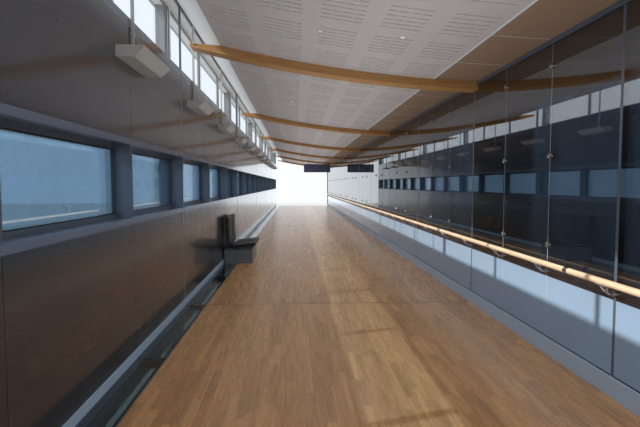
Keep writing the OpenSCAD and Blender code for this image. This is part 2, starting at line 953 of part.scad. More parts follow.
// Blank sign box on two rods
sign_off = 1220;
sign_place = 0.74;
rod_d = 20;
module hanging_sign() {
    sign_x = screen_x - sign_off;
    sign_y = sign_place * run - run / 2;
    sign_top = sign_z + sign_h;
    color("#33373b") {
        block([sign_x - sign_w / 2, sign_x + sign_w / 2],
              [sign_y - sign_t / 2, sign_y + sign_t / 2], [sign_z, sign_top]);
        for (rod_x = [sign_x - sign_w / 3, sign_x + sign_w / 3])
            translate([rod_x, sign_y, floor_z + sign_top])
                cylinder(h = arc_z(rod_x, beam_show) - sign_top - seat_gap,
                         d = rod_d, $fn = 24);
    }
}

// Small round fittings under the ceiling, in three rows
spot_h = 10;
module spot(off, place, d) {
    x = screen_x - off;
    translate([arc_low_x, place, floor_z + arc_low_z + arc_r])
        rotate([0, asin((arc_low_x - x) / ceiling_top_r), 0])
            translate([0, 0, -ceiling_top_r - seat_gap])
                mirror([0, 0, 1])
                    cylinder(h = spot_h, d = d, $fn = 32);
}

module ceiling_spots() {
    color("#d5d5d2")
        for (k = [0 : bays - 1])
            let (near = k * bay_l - run / 2) {
                for (share = [0.25, 0.75])
                    spot(small_spot_off, near + share * bay_l, small_spot_d);
                for (share = [0.05, 0.38, 0.72])
                    spot(medium_spot_off, near + share * bay_l, medium_spot_d);
                spot(large_spot_off, near + bay_l / 2, large_spot_d);
            }
}

right_columns();
left_columns();
column_brackets();
cross_girders();
edge_girder();
floor_stringers();
deck_slab();
oak_floor();
floor_trims();
glass_floor();
glass_floor_bearers();
facade_posts();
lower_wall();
upper_wall();
outer_cladding();
skirting();
lower_panels();
upper_panels();
wall_bands();
window_frames();
window_glass();
high_window_frames();
high_window_glass();
wall_lights();
light_lenses();
screen_base();
screen_glass();
screen_frame();
patch_fittings();
backing_panels();
handrail();
rail_brackets();
glulam_beams();
beam_shoes();
main_ceiling();
plain_ceiling();
light_scoop();
roof_deck();
roof_edges();
end_frames();
bench_frame();
bench_pads();
hanging_sign();
ceiling_spots();
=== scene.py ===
import json
import math
import random

import bmesh
import bpy
from bpy.props import FloatProperty, FloatVectorProperty, IntProperty, PointerProperty
from bpy.types import Operator, Panel, PropertyGroup
from mathutils import Matrix, Vector


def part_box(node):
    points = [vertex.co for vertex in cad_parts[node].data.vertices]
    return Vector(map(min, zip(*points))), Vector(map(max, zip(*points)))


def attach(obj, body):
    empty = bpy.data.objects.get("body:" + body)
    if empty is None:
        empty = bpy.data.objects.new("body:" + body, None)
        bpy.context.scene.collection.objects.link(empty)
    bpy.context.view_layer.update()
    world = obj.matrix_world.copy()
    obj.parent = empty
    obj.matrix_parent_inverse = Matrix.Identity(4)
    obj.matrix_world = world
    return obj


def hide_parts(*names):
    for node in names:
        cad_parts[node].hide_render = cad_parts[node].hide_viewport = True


bl_info = {
    "name": "Glazed Walkway",
    "version": (1, 0, 0),
    "blender": (4, 5, 0),
    "location": "View3D > Sidebar > Walkway",
    "description": "Dresses the packed frame of a raised glazed walkway",
    "category": "Object",
}

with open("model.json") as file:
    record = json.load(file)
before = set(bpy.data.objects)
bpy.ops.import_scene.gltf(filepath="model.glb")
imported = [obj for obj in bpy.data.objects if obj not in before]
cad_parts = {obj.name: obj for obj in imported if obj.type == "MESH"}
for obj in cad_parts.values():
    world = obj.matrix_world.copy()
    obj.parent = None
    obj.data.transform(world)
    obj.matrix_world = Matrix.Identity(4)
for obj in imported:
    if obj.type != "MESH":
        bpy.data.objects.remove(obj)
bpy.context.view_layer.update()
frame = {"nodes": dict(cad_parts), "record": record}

# Places that every piece shares, read from the frame
BAYS = 6
PANELS_PER_BAY = 3
PANES_PER_BAY = 6
COLUMN_LOW, COLUMN_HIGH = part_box("right_columns")
COLUMN_X = (COLUMN_LOW.x + COLUMN_HIGH.x) / 2
COLUMN_R = (COLUMN_HIGH.x - COLUMN_LOW.x) / 2
RUN = COLUMN_HIGH.y - COLUMN_LOW.y - 2 * COLUMN_R
BAY = RUN / BAYS
PANEL = BAY / PANELS_PER_BAY
PANE = BAY / PANES_PER_BAY
FLOOR_LOW, FLOOR_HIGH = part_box("oak_floor")
FLOOR_Z = FLOOR_HIGH.z
Y_IN = FLOOR_HIGH.y
WALL_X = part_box("lower_panels")[1].x
GLASS_LOW, GLASS_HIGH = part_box("screen_glass")
SCREEN_X = (GLASS_LOW.x + GLASS_HIGH.x) / 2
BEAM_LOW, BEAM_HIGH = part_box("glulam_beams")
BEAM_W = BEAM_HIGH.y - BEAM_LOW.y - RUN
CEILING_LOW, CEILING_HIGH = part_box("main_ceiling")
PLAIN_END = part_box("plain_ceiling")[1].x
BASE_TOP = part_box("screen_base")[1].z
BACKING_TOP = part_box("backing_panels")[1].z
ROOF_LOW, ROOF_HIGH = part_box("roof_deck")
HIGH_LOW, HIGH_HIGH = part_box("high_window_frames")
GIRDER_LOW, GIRDER_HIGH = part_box("cross_girders")
RAIL_LOW, RAIL_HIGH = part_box("handrail")
CLAD_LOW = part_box("outer_cladding")[0]

# The windows: width of their posts and bars, depth of the glass in its frame, and the height of
# the boards over and under the long window
POST_W = 0.08
BAR_W = 0.04
GLASS_IN = 0.013
BAND_H = 0.055
LONG_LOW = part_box("window_glass")[0].z - BAR_W
LONG_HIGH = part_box("window_glass")[1].z + BAR_W

# Heights of the clamps of the glass screen over the floor
PATCH_LEVELS = (1.03, 1.87, 2.7)

# The curve under the beams: its radius and its centre, above the screen
ARC_R = 18.5
ARC_X = SCREEN_X + 0.6
ARC_Z = BEAM_LOW.z + ARC_R

# How much of a beam shows under the ceiling, and the thickness of its glued layers
BEAM_SHOW = 0.1
LAMELLA = 0.033

# How fine the figure of the floor's oak is
OAK_GRAIN = 26.0


def ceiling_z(x, lift=BEAM_SHOW):
    """Height of the ceiling's face, or of a curve at another lift above the beams' underside."""
    return ARC_Z - math.sqrt((ARC_R - lift) ** 2 - (x - ARC_X) ** 2)


def lines(pitch):
    """Places of the grid lines along the walkway, both ends included."""
    count = round(RUN / pitch)
    return [k * pitch - RUN / 2 for k in range(count + 1)]


def spans(pitch, gap):
    """The stretches between grid lines, less the gap at each line, out to both end frames."""
    marks = [-Y_IN - gap / 2, *lines(pitch), Y_IN + gap / 2]
    return [(a + gap / 2, b - gap / 2) for a, b in zip(marks, marks[1:])]


def colour(name, description, default):
    """A colour that the panel shows."""
    return FloatVectorProperty(name=name, description=description, default=default, size=3,
                               subtype="COLOR", min=0.0, max=1.0)


def length(name, description, default, low, high):
    """A length that the panel shows."""
    return FloatProperty(name=name, description=description, default=default, min=low, max=high,
                         unit="LENGTH")


class WalkwayColours(PropertyGroup):
    """Colours of the walkway's finishes."""

    oak: colour("Oak floor", "Mean colour of the floor boards", (0.45, 0.232, 0.096))
    rail: colour("Handrail", "Colour of the lacquered handrail", (0.72, 0.52, 0.34))
    glulam: colour("Beams", "Mean colour of the glued timber", (0.4, 0.2, 0.065))
    lower_lacquer: colour("Lower panels", "Lacquer of the lower wall panels", (0.022, 0.024, 0.03))
    upper_lacquer: colour("Upper panels", "Lacquer of the upper wall panels", (0.03, 0.034, 0.045))
    pale_band: colour("Window boards", "Boards that line the long window", (0.115, 0.14, 0.2))
    skirting: colour("Skirtings", "Skirtings along both sides", (0.4, 0.5, 0.62))
    backing: colour("Backing panels", "Panels behind the foot of the screen", (0.3, 0.38, 0.47))
    enamel: colour("Enamel", "Enamel on the foot of the screen glass", (0.26, 0.37, 0.5))
    ceiling: colour("Slotted ceiling", "Trays of the main ceiling", (0.53, 0.49, 0.48))
    plain_ceiling: colour("Plain ceiling", "Band beside the screen and soffit", (0.27, 0.185, 0.125))
    concrete: colour("Concrete", "Cast columns", (0.43, 0.42, 0.4))
    steel: colour("Steelwork", "Paint on the steel under the floor", (0.2, 0.215, 0.23))
    cladding: colour("Cladding", "Outer faces of the wall and roof edge", (0.33, 0.36, 0.38))


class WalkwaySizes(PropertyGroup):
    """Sizes of what is laid, fixed or pressed into the frame's pieces."""

    board_width: length("Board width", "Width of one oak board", 0.07, 0.04, 0.2)
    board_shortest: length("Shortest board", "Length of the shortest oak board", 0.45, 0.2, 1.0)
    board_longest: length("Longest board", "Length of the longest oak board", 1.3, 0.6, 3.0)
    board_edge: length("Board edge", "Width of the chamfer along a board", 0.0012, 0.0005, 0.004)
    tile: length("Group width", "Pitch of the groups of slots across the walkway", 0.6, 0.4, 0.8)
    tile_along: length("Group length", "Pitch of the groups of slots along it", 0.82, 0.4, 1.2)
    slot_length: length("Slot length", "Length of one ceiling slot", 0.084, 0.04, 0.12)
    slot_width: length("Slot width", "Width of one ceiling slot", 0.028, 0.01, 0.04)
    slot_depth: length("Slot depth", "Depth of one ceiling slot", 0.006, 0.002, 0.03)
    slots_across: IntProperty(name="Slots across", description="Slots side by side in a group",
                              default=4, min=1, max=4)
    slots_along: IntProperty(name="Slots along", description="Slots one behind another in a group",
                             default=6, min=1, max=8)
    roof_seam: length("Roof seam", "Pitch of the standing seams", 0.5, 0.3, 0.8)
    rib: length("Bench rib", "Pitch of the sewn ribs of the bench", 0.06, 0.03, 0.12)


def box_into(bm, corner, opposite):
    """Adds a box between two opposite corners and returns its vertices."""
    low, high = (Vector(map(end, corner, opposite)) for end in (min, max))
    stand = Matrix.Translation((low + high) / 2) @ Matrix.Diagonal((*(high - low), 1.0))
    return bmesh.ops.create_cube(bm, size=1.0, matrix=stand)["verts"]


def rod_into(bm, start, end, radius, sides=16, far_radius=None):
    """Adds a closed rod or cone between two points and returns its vertices."""
    start, end = Vector(start), Vector(end)
    axis = end - start
    turn = axis.to_track_quat("Z", "Y").to_matrix().to_4x4()
    stand = Matrix.Translation((start + end) / 2) @ turn
    made = bmesh.ops.create_cone(
        bm, cap_ends=True, segments=sides, radius1=radius,
        radius2=radius if far_radius is None else far_radius, depth=axis.length, matrix=stand,
    )
    return made["verts"]


def pin_into(bm, foot, step, radius, sides, far_radius=None):
    """Adds a closed rod or cone that starts at a spot and runs one step."""
    foot = Vector(foot)
    return rod_into(bm, foot, foot + Vector(step), radius, sides, far_radius)


def soften(bm, width, segments=2, angle=0.6, edges=None):
    """Rounds the edges that turn by more than an angle."""
    if edges is None:
        edges = [e for e in bm.edges if e.is_manifold and e.calc_face_angle() > angle]
    bmesh.ops.bevel(
        bm, geom=list(edges), offset=width, offset_type="OFFSET", segments=segments,
        profile=0.5, affect="EDGES", clamp_overlap=True, material=-1,
    )


def outline_into(bm, points, y0, y1):
    """Adds a closed outline in X and Z, drawn out along Y."""
    verts = [bm.verts.new((x, y0, z)) for x, z in points]
    face = bm.faces.new(verts)
    made = bmesh.ops.extrude_face_region(bm, geom=[face])["geom"]
    moved = [g for g in made if isinstance(g, bmesh.types.BMVert)]
    bmesh.ops.translate(bm, verts=moved, vec=(0, y1 - y0, 0))
    faces = list({f for v in verts + moved for f in v.link_faces})
    bmesh.ops.recalc_face_normals(bm, faces=faces)


def bolt_into(bm, spot, axis, size):
    """Adds a hexagon bolt head on its washer, seated on a face at a spot."""
    spot, axis = Vector(spot), Vector(axis).normalized()
    washer, head = 0.18 * size, 0.65 * size
    seat, neck, top = (spot + axis * up for up in (washer, washer + 0.75 * head, washer + head))
    rod_into(bm, spot - axis * 0.001, seat, size)
    rod_into(bm, seat, neck, 0.82 * size, 6)
    rod_into(bm, neck, top, 0.82 * size, 6, 0.66 * size)


def cap_into(bm, spot, axis, radius, height):
    """Adds a turned cap with sloped sides and a sunken face."""
    spot, axis = Vector(spot), Vector(axis).normalized()
    verts = rod_into(bm, spot, spot + axis * height, radius, sides=24, far_radius=0.82 * radius)
    face = max({f for v in verts for f in v.link_faces},
               key=lambda f: (f.calc_center_median() - spot).dot(axis))
    bmesh.ops.inset_region(bm, faces=[face], thickness=0.5 * radius)
    bmesh.ops.translate(bm, verts=face.verts, vec=-axis * 0.6 * height)


def material_of(slot):
    """The material that the finishes step made for a slot."""
    return bpy.data.materials[bpy.context.scene["walkway_" + slot]]


def object_of(name, bm):
    """The object of a mesh, at the origin."""
    mesh = bpy.data.meshes.new(name)
    bm.to_mesh(mesh)
    bm.free()
    obj = bpy.data.objects.new(name, mesh)
    bpy.context.scene.collection.objects.link(obj)
    return obj


def piece(name, bm, slot, *finish, smooth=False):
    """Makes a finished piece, which rides on the walkway.

    Each finish is a material or the name of a slot. Without one the piece's own slot is used.
    """
    obj = object_of(name, bm)
    for own in finish or (slot,):
        obj.data.materials.append(material_of(own) if isinstance(own, str) else own)
    if smooth:
        obj.data.shade_smooth()
    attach(obj, "root")
    return obj


def set_inputs(tree, node, **inputs):
    """Gives each input, base_color for Base Color, a value or another node's output."""
    for name, value in inputs.items():
        socket = node.inputs[name.replace("_", " ").title()]
        if isinstance(value, bpy.types.NodeSocket):
            tree.links.new(value, socket)
        else:
            socket.default_value = value


def add_node(tree, kind, **inputs):
    """A new shader node with its inputs set."""
    node = tree.nodes.new("ShaderNode" + kind)
    set_inputs(tree, node, **inputs)
    return node


def new_material(name, base, roughness, **inputs):
    """A material, its node tree and its shader, with the shader's plain values set."""
    material = bpy.data.materials.new(name)
    material.use_nodes = True
    tree = material.node_tree
    shader = tree.nodes["Principled BSDF"]
    set_inputs(tree, shader, base_color=(*base, 1.0), roughness=roughness, **inputs)
    return material, tree, shader


def place(tree, scale=(1.0, 1.0, 1.0), shift=(0.0, 0.0, 0.0)):
    """Object coordinates, moved and stretched."""
    source = add_node(tree, "TexCoord").outputs["Object"]
    return add_node(tree, "Mapping", vector=source, location=shift, scale=scale).outputs["Vector"]


def noise(tree, scale, detail=4.0, roughness=0.55, vector=None):
    """Cloudy noise from 0 to 1."""
    node = add_node(tree, "TexNoise", vector=vector or place(tree), scale=scale, detail=detail,
                    roughness=roughness)
    return node.outputs["Fac"]


def cell_distance(tree, scale):
    """Distance to the middle of the nearest of many small cells."""
    return add_node(tree, "TexVoronoi", vector=place(tree), scale=scale).outputs["Distance"]


def maths(tree, operation, first, second=0.0, third=None):
    """One sum. Each operand is a number or a socket."""
    node = tree.nodes.new("ShaderNodeMath")
    node.operation = operation
    for index, value in enumerate((first, second) if third is None else (first, second, third)):
        if isinstance(value, (int, float)):
            node.inputs[index].default_value = value
        else:
            tree.links.new(value, node.inputs[index])
    return node.outputs["Value"]


def span_of(tree, value, low, high, new_low=0.0, new_high=1.0):
    """Stretches a range of values to another range, and clamps it."""
    node = add_node(tree, "MapRange", value=value, from_min=low, from_max=high, to_min=new_low,
                    to_max=new_high)
    return node.outputs["Result"]


def scaled(base, factor):
    """A colour made lighter or darker."""
    return tuple(min(1.0, channel * factor) for channel in base)


def shades(tree, factor, dark, light):
    """A colour between two others. Inputs 6 and 7 of the node are its two colours."""
    mix = tree.nodes.new("ShaderNodeMix")
    mix.data_type = "RGBA"
    tree.links.new(factor, mix.inputs["Factor"])
    for index, value in ((6, dark), (7, light)):
        if isinstance(value, tuple):
            mix.inputs[index].default_value = (*value, 1.0)
        else:
            tree.links.new(value, mix.inputs[index])
    return mix.outputs[2]


def tones(tree, factor, base, dark, light):
    """A colour between a darker and a lighter tone of its own."""
    return shades(tree, factor, scaled(base, dark), scaled(base, light))


def bump(tree, shader, height, distance, strength):
    """Raises the surface by a height, in metres."""
    raised = add_node(tree, "Bump", height=height, distance=distance, strength=strength)
    tree.links.new(raised.outputs["Normal"], shader.inputs["Normal"])


def paint(name, base, roughness=0.4, mottle=0.06, coat=0.0, metallic=0.0):
    """Sprayed paint: faint clouds of tone, a fine skin, and slight wear of the gloss."""
    material, tree, shader = new_material(name, base, roughness, metallic=metallic,
                                          coat_weight=coat, coat_roughness=0.08)
    cloud = noise(tree, 1.7, detail=3.0)
    worn = noise(tree, 6.0)
    set_inputs(tree, shader, base_color=tones(tree, cloud, base, 1.0 - mottle, 1.0 + mottle),
               roughness=span_of(tree, worn, 0.3, 0.7, roughness * 0.88, roughness * 1.12))
    bump(tree, shader, noise(tree, 240.0, detail=2.0), 0.0002, 0.4)
    return material


def lacquer(name, base):
    """Gloss lacquer on flat panels: a dark ground under a clear coat."""
    material, tree, shader = new_material(name, base, 0.3, coat_weight=0.8, coat_roughness=0.09)
    cloud = noise(tree, 0.9, detail=2.0)
    worn = noise(tree, 3.0)
    set_inputs(tree, shader, base_color=tones(tree, cloud, base, 0.92, 1.08),
               roughness=span_of(tree, worn, 0.3, 0.7, 0.26, 0.34))
    return material


def wood(name, base, along, grain, gloss, tone=None):
    """Timber with its grain drawn out along one axis, and a tone for each board or layer."""
    material, tree, shader = new_material(name, base, gloss)
    vector = place(tree, scale=tuple(0.06 if axis == along else 1.0 for axis in "xyz"))
    if tone:
        own = tone(tree)
        shift = tree.nodes.new("ShaderNodeVectorMath")
        shift.operation = "ADD"
        tree.links.new(vector, shift.inputs[0])
        tree.links.new(maths(tree, "MULTIPLY", own, 9.0), shift.inputs[1])
        vector = shift.outputs["Vector"]
    figure = noise(tree, grain, detail=6.0, roughness=0.62, vector=vector)
    pores = noise(tree, grain * 7.0, detail=2.0, vector=vector)
    tint = tones(tree, span_of(tree, figure, 0.32, 0.68), base, 0.8, 1.16)
    tint = shades(tree, span_of(tree, pores, 0.58, 0.72, 0.0, 0.55), tint, scaled(base, 0.5))
    if tone:
        light = span_of(tree, own, 0.0, 1.0, 0.84, 1.14)
        tint = add_node(tree, "HueSaturation", value=light, color=tint).outputs["Color"]
    set_inputs(tree, shader, base_color=tint,
               roughness=span_of(tree, figure, 0.2, 0.8, gloss * 0.85, gloss * 1.2))
    bump(tree, shader, pores, 0.0004, 0.35)
    return material


def board_tone(tree):
    """The tone that each floor board carries."""
    node = tree.nodes.new("ShaderNodeAttribute")
    node.attribute_name = "tone"
    return node.outputs["Fac"]


def lamella_tone(tree):
    """A tone for each glued layer of a beam, counted out from the centre of its curve."""
    spot = add_node(tree, "SeparateXYZ", vector=place(tree, shift=(-ARC_X, 0.0, -ARC_Z))).outputs
    across = maths(tree, "MULTIPLY", spot["X"], spot["X"])
    squared = maths(tree, "MULTIPLY_ADD", spot["Z"], spot["Z"], across)
    layer = maths(tree, "MULTIPLY", maths(tree, "SQRT", squared), 1.0 / LAMELLA)
    white = tree.nodes.new("ShaderNodeTexWhiteNoise")
    white.noise_dimensions = "1D"
    tree.links.new(maths(tree, "FLOOR", layer), white.inputs["W"])
    glue = maths(tree, "LESS_THAN", maths(tree, "FRACT", layer), 0.06)
    return maths(tree, "MULTIPLY_ADD", glue, -0.9, white.outputs["Value"])


def concrete(name, base):
    """Cast concrete: broad clouds, fine grit, and small blow holes, sunk and darkened with painted
    shade.
    """
    material, tree, shader = new_material(name, base, 0.75)
    cloud = noise(tree, 1.4, detail=6.0, vector=place(tree, scale=(1.0, 1.0, 0.4)))
    grit = noise(tree, 60.0)
    # Blow holes: sunk by the bump, and darker in colour as painted shade in the pits
    hole_and_shade = span_of(tree, cell_distance(tree, 26.0), 0.05, 0.09)
    tint = tones(tree, span_of(tree, cloud, 0.3, 0.7), base, 0.82, 1.12)
    set_inputs(tree, shader, base_color=shades(tree, hole_and_shade, scaled(base, 0.45), tint))
    bump(tree, shader, maths(tree, "MULTIPLY_ADD", grit, 0.35, hole_and_shade), 0.0012, 0.6)
    return material


def metal(name, base, roughness):
    """Bare metal with a fine directional polish."""
    material, tree, shader = new_material(name, base, roughness, metallic=1.0)
    polish = noise(tree, 40.0, detail=3.0, vector=place(tree, scale=(1.0, 0.1, 1.0)))
    set_inputs(tree, shader, base_color=tones(tree, polish, base, 0.93, 1.05),
               roughness=span_of(tree, polish, 0.3, 0.7, roughness * 0.75, roughness * 1.3))
    return material


def mixed(tree, share, first, second):
    """A shader between two others."""
    mix = add_node(tree, "MixShader", fac=share)
    tree.links.new(first.outputs[0], mix.inputs[1])
    tree.links.new(second.outputs[0], mix.inputs[2])
    return mix


def clear_glass(name, tint, mirror, flat=0.75, foot=None):
    """Glass: what is behind shows through a tint, under a mirror that grows at a flat angle.

    With a foot, a colour and a height, the pane is enamelled up to that height.
    """
    material, tree, shader = new_material(name, tint, 0.0)
    tree.nodes.remove(shader)
    clear = add_node(tree, "BsdfTransparent", color=(*tint, 1.0))
    shine = add_node(tree, "BsdfGlossy", color=(1.0, 1.0, 1.0, 1.0), roughness=0.0)
    facing = add_node(tree, "LayerWeight", blend=0.35).outputs["Fresnel"]
    pane = mixed(tree, span_of(tree, facing, 0.0, 1.0, mirror, flat), clear, shine)
    if foot:
        base, height = foot
        tint = tones(tree, noise(tree, 2.0), base, 0.95, 1.05)
        enamel = add_node(tree, "BsdfPrincipled", base_color=tint, roughness=0.12)
        level = add_node(tree, "SeparateXYZ", vector=place(tree)).outputs["Z"]
        pane = mixed(tree, maths(tree, "LESS_THAN", level, height), pane, enamel)
    tree.links.new(pane.outputs[0], tree.nodes["Material Output"].inputs["Surface"])
    return material


def leathercloth(name, base):
    """Black leathercloth with a fine pebble."""
    material, tree, shader = new_material(name, base, 0.42)
    worn = noise(tree, 9.0)
    set_inputs(tree, shader, base_color=tones(tree, worn, base, 0.8, 1.5),
               roughness=span_of(tree, worn, 0.3, 0.7, 0.36, 0.52))
    bump(tree, shader, cell_distance(tree, 420.0), 0.0005, 0.5)
    return material


def opal(name):
    """Milky diffuser of the wall lights."""
    material, tree, shader = new_material(name, (0.85, 0.85, 0.83), 0.35, emission_strength=0.15,
                                          emission_color=(1.0, 0.97, 0.92, 1.0))
    cloud = noise(tree, 12.0)
    set_inputs(tree, shader, base_color=shades(tree, cloud, (0.8, 0.8, 0.78), (0.88, 0.88, 0.86)))
    return material


def finishes(colours):
    """A material for each of the record's slots, and more for the small fittings."""
    return {
        "concrete": concrete("cast_concrete", colours.concrete),
        "slab_concrete": concrete("slab_concrete", scaled(colours.concrete, 0.85)),
        "painted_steel": paint("steel_paint", colours.steel, 0.45),
        "oak": wood("oak_core", colours.oak, "y", OAK_GRAIN, 0.32),
        "trim_metal": metal("floor_trim_metal", (0.62, 0.61, 0.58), 0.35),
        "floor_glass": clear_glass("floor_glass", (0.42, 0.54, 0.56), 0.08),
        "wall_board": paint("wall_board", (0.8, 0.8, 0.79), 0.7),
        "cladding": paint("cladding_coat", colours.cladding, 0.38, metallic=0.25),
        "skirting_grey": paint("skirting_paint", colours.skirting, 0.35),
        "lower_lacquer": lacquer("lower_lacquer", colours.lower_lacquer),
        "upper_lacquer": lacquer("upper_lacquer", colours.upper_lacquer),
        "pale_band": paint("window_board_paint", colours.pale_band, 0.22, coat=0.5),
        "dark_frame": paint("dark_frame_paint", (0.08, 0.1, 0.13), 0.35),
        "light_frame": paint("light_frame_paint", (0.74, 0.76, 0.78), 0.35),
        "window_glass": clear_glass("window_glass", (0.55, 0.71, 0.85), 0.05),
        "light_housing": paint("light_housing_paint", (0.48, 0.48, 0.46), 0.4),
        "lens": opal("opal_lens"),
        "screen_glass": clear_glass("screen_glass", (0.16, 0.2, 0.25), 0.15,
                                    foot=(colours.enamel, BACKING_TOP)),
        "stainless": metal("polished_stainless", (0.6, 0.6, 0.61), 0.14),
        "backing_blue": paint("backing_paint", colours.backing, 0.42),
        "rail_timber": wood("handrail_timber", colours.rail, "y", 60.0, 0.25),
        "glulam": wood("glulam_timber", colours.glulam, "x", 30.0, 0.42, tone=lamella_tone),
        "perforated_ceiling": paint("ceiling_tray_paint", colours.ceiling, 0.5),
        "plain_ceiling": paint("plain_ceiling_paint", colours.plain_ceiling, 0.6),
        "scoop_white": paint("scoop_paint", (0.9, 0.91, 0.92), 0.5),
        "roof_metal": paint("roof_coat", (0.27, 0.29, 0.31), 0.42, metallic=0.3),
        "end_metal": paint("end_frame_paint", (0.16, 0.175, 0.19), 0.4),
        "bench_metal": paint("bench_paint", (0.02, 0.02, 0.022), 0.4),
        "bench_upholstery": leathercloth("black_leathercloth", (0.016, 0.016, 0.018)),
        "sign_dark": paint("sign_case_paint", (0.03, 0.034, 0.04), 0.3),
        "rubber": paint("black_rubber", (0.012, 0.012, 0.013), 0.6),
        "clear_seal": paint("clear_seal", (0.55, 0.6, 0.64), 0.2),
        "bolt_zinc": metal("bolt_zinc", (0.5, 0.51, 0.52), 0.38),
        "sky_glass": clear_glass("sky_glass", (0.97, 0.985, 1.0), 0.03, flat=0.12),
        "sign_face": lacquer("sign_face", (0.012, 0.02, 0.05)),
    }


class WALKWAY_OT_finishes(Operator):
    """Gives each piece of the frame its finish"""

    bl_idname = "walkway.finishes"
    bl_label = "Finishes"

    def execute(self, context):
        made = finishes(context.scene.walkway_colours)
        for slot, material in made.items():
            context.scene["walkway_" + slot] = material.name
        for part in frame["record"]["subparts"]:
            mesh = frame["nodes"][part["node"]].data
            mesh.materials.clear()
            mesh.materials.append(made[part["material_slot"]])
        frame["nodes"]["high_window_glass"].data.materials[0] = made["sky_glass"]
        return {"FINISHED"}


def board_lengths(start, end, shortest, longest, rng):
    """Ends of the boards in one row, none of them shorter than the shortest."""
    ends = [start]
    while end - ends[-1] > longest:
        step = rng.uniform(shortest, longest)
        ends.append(min(ends[-1] + step, end - shortest))
    ends.append(end)
    return ends


class WALKWAY_OT_oak_boards(Operator):
    """Lays the oak strip floor, board by board, between the metal joints"""

    bl_idname = "walkway.oak_boards"
    bl_label = "Oak boards"

    # Width of the metal joint strips, and the seed of the random draws
    joint = 0.024
    seed = 7

    def execute(self, context):
        sizes = context.scene.walkway_sizes
        rng = random.Random(self.seed)
        bm = bmesh.new()
        tone = bm.loops.layers.float_color.new("tone")
        rows = round((FLOOR_HIGH.x - FLOOR_LOW.x) / sizes.board_width)
        width = (FLOOR_HIGH.x - FLOOR_LOW.x) / rows
        seen = 0
        for y0, y1 in spans(BAY, self.joint):
            for row in range(rows):
                ends = board_lengths(y0, y1, sizes.board_shortest, sizes.board_longest, rng)
                x = FLOOR_LOW.x + row * width
                for a, b in zip(ends, ends[1:]):
                    box_into(bm, (x, a, FLOOR_LOW.z), (x + width, b, FLOOR_HIGH.z))
                    bm.faces.ensure_lookup_table()
                    shade = rng.random()
                    for face in bm.faces[seen:]:
                        for loop in face.loops:
                            loop[tone] = (shade, shade, shade, 1.0)
                    seen = len(bm.faces)
        top = [e for e in bm.edges if all(v.co.z > FLOOR_HIGH.z - 1e-5 for v in e.verts)]
        soften(bm, sizes.board_edge, segments=1, edges=top)
        boards = wood("oak_boards", context.scene.walkway_colours.oak, "y", OAK_GRAIN, 0.27,
                      tone=board_tone)
        obj = piece("oak_boards", bm, "oak", boards)
        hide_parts("oak_floor")
        return {"FINISHED"}


def tray_lines(start, end, tile, count, slot, spare):
    """Edges of the slots across one stretch, and whether each strip between them holds slots."""
    marks, holds = [start], []
    tiles = max(1, round((end - start) / tile))
    pitch = (end - start) / tiles
    step = (pitch - spare) / count
    for k in range(tiles):
        for j in range(count):
            low = start + k * pitch + spare / 2 + step * j + (step - slot) / 2
            marks += [low, low + slot]
            holds += [False, True]
    marks.append(end)
    holds.append(False)
    return marks, holds


class WALKWAY_OT_slotted_ceiling(Operator):
    """Presses the groups of short slots into the ceiling trays"""

    bl_idname = "walkway.slotted_ceiling"
    bl_label = "Slotted ceiling"

    # Plain ceiling between two groups of slots, each way, and the height of a tray's rim
    apart_across = 0.16
    apart_along = 0.2
    rim = 0.03

    def execute(self, context):
        sizes = context.scene.walkway_sizes
        bm = bmesh.new()
        across, holds_x = tray_lines(
            CEILING_LOW.x, CEILING_HIGH.x, sizes.tile, sizes.slots_across, sizes.slot_length,
            self.apart_across,
        )
        for y0, y1 in spans(BAY, BEAM_W):
            if y1 - y0 < sizes.tile_along:
                along, holds_y = [y0, y1], [False]
            else:
                along, holds_y = tray_lines(
                    y0, y1, sizes.tile_along, sizes.slots_along, sizes.slot_width, self.apart_along
                )
            self.tray(bm, across, along, holds_x, holds_y, sizes.slot_depth)
        # The slot bottoms take a paint a little darker than the trays: painted shade in the slots
        slot_shade = paint("slot_painted_shade", (0.46, 0.43, 0.415), 0.9)
        obj = piece("slotted_ceiling", bm, "perforated_ceiling", "perforated_ceiling", slot_shade)
        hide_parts("main_ceiling")
        return {"FINISHED"}

    def tray(self, bm, across, along, holds_x, holds_y, depth):
        """One bay's sheet, from a plain grid set to the slots' edges, with a rim and a back."""
        wide, long = len(across) - 1, len(along) - 1
        made = bmesh.ops.create_grid(bm, x_segments=wide, y_segments=long, size=0.5)["verts"]
        faces = list({f for v in made for f in v.link_faces})
        slots = []
        for face in faces:
            middle = face.calc_center_median()
            if holds_x[int((middle.x + 0.5) * wide)] and holds_y[int((middle.y + 0.5) * long)]:
                slots.append(face)
        for vert in made:
            x = across[round((vert.co.x + 0.5) * wide)]
            y = along[round((vert.co.y + 0.5) * long)]
            vert.co = (x, y, ceiling_z(x))
        bmesh.ops.reverse_faces(bm, faces=faces)
        rim = list({e for f in faces for e in f.edges if e.is_boundary})
        risen = bmesh.ops.extrude_edge_only(bm, edges=rim)["geom"]
        top = [g for g in risen if isinstance(g, bmesh.types.BMVert)]
        bmesh.ops.translate(bm, verts=top, vec=(0, 0, self.rim))
        loop = [g for g in risen if isinstance(g, bmesh.types.BMEdge) and g.is_boundary]
        back = bmesh.ops.edgeloop_fill(bm, edges=loop)["faces"]
        bmesh.ops.recalc_face_normals(bm, faces=faces + back)
        if slots:
            sunk = bmesh.ops.extrude_discrete_faces(bm, faces=slots)["faces"]
            bmesh.ops.translate(bm, verts=list({v for f in sunk for v in f.verts}), vec=(0, 0, depth))
            # The sunk slot bottoms take the second finish, which is darker as painted shade
            for face in sunk:
                face.material_index = 1


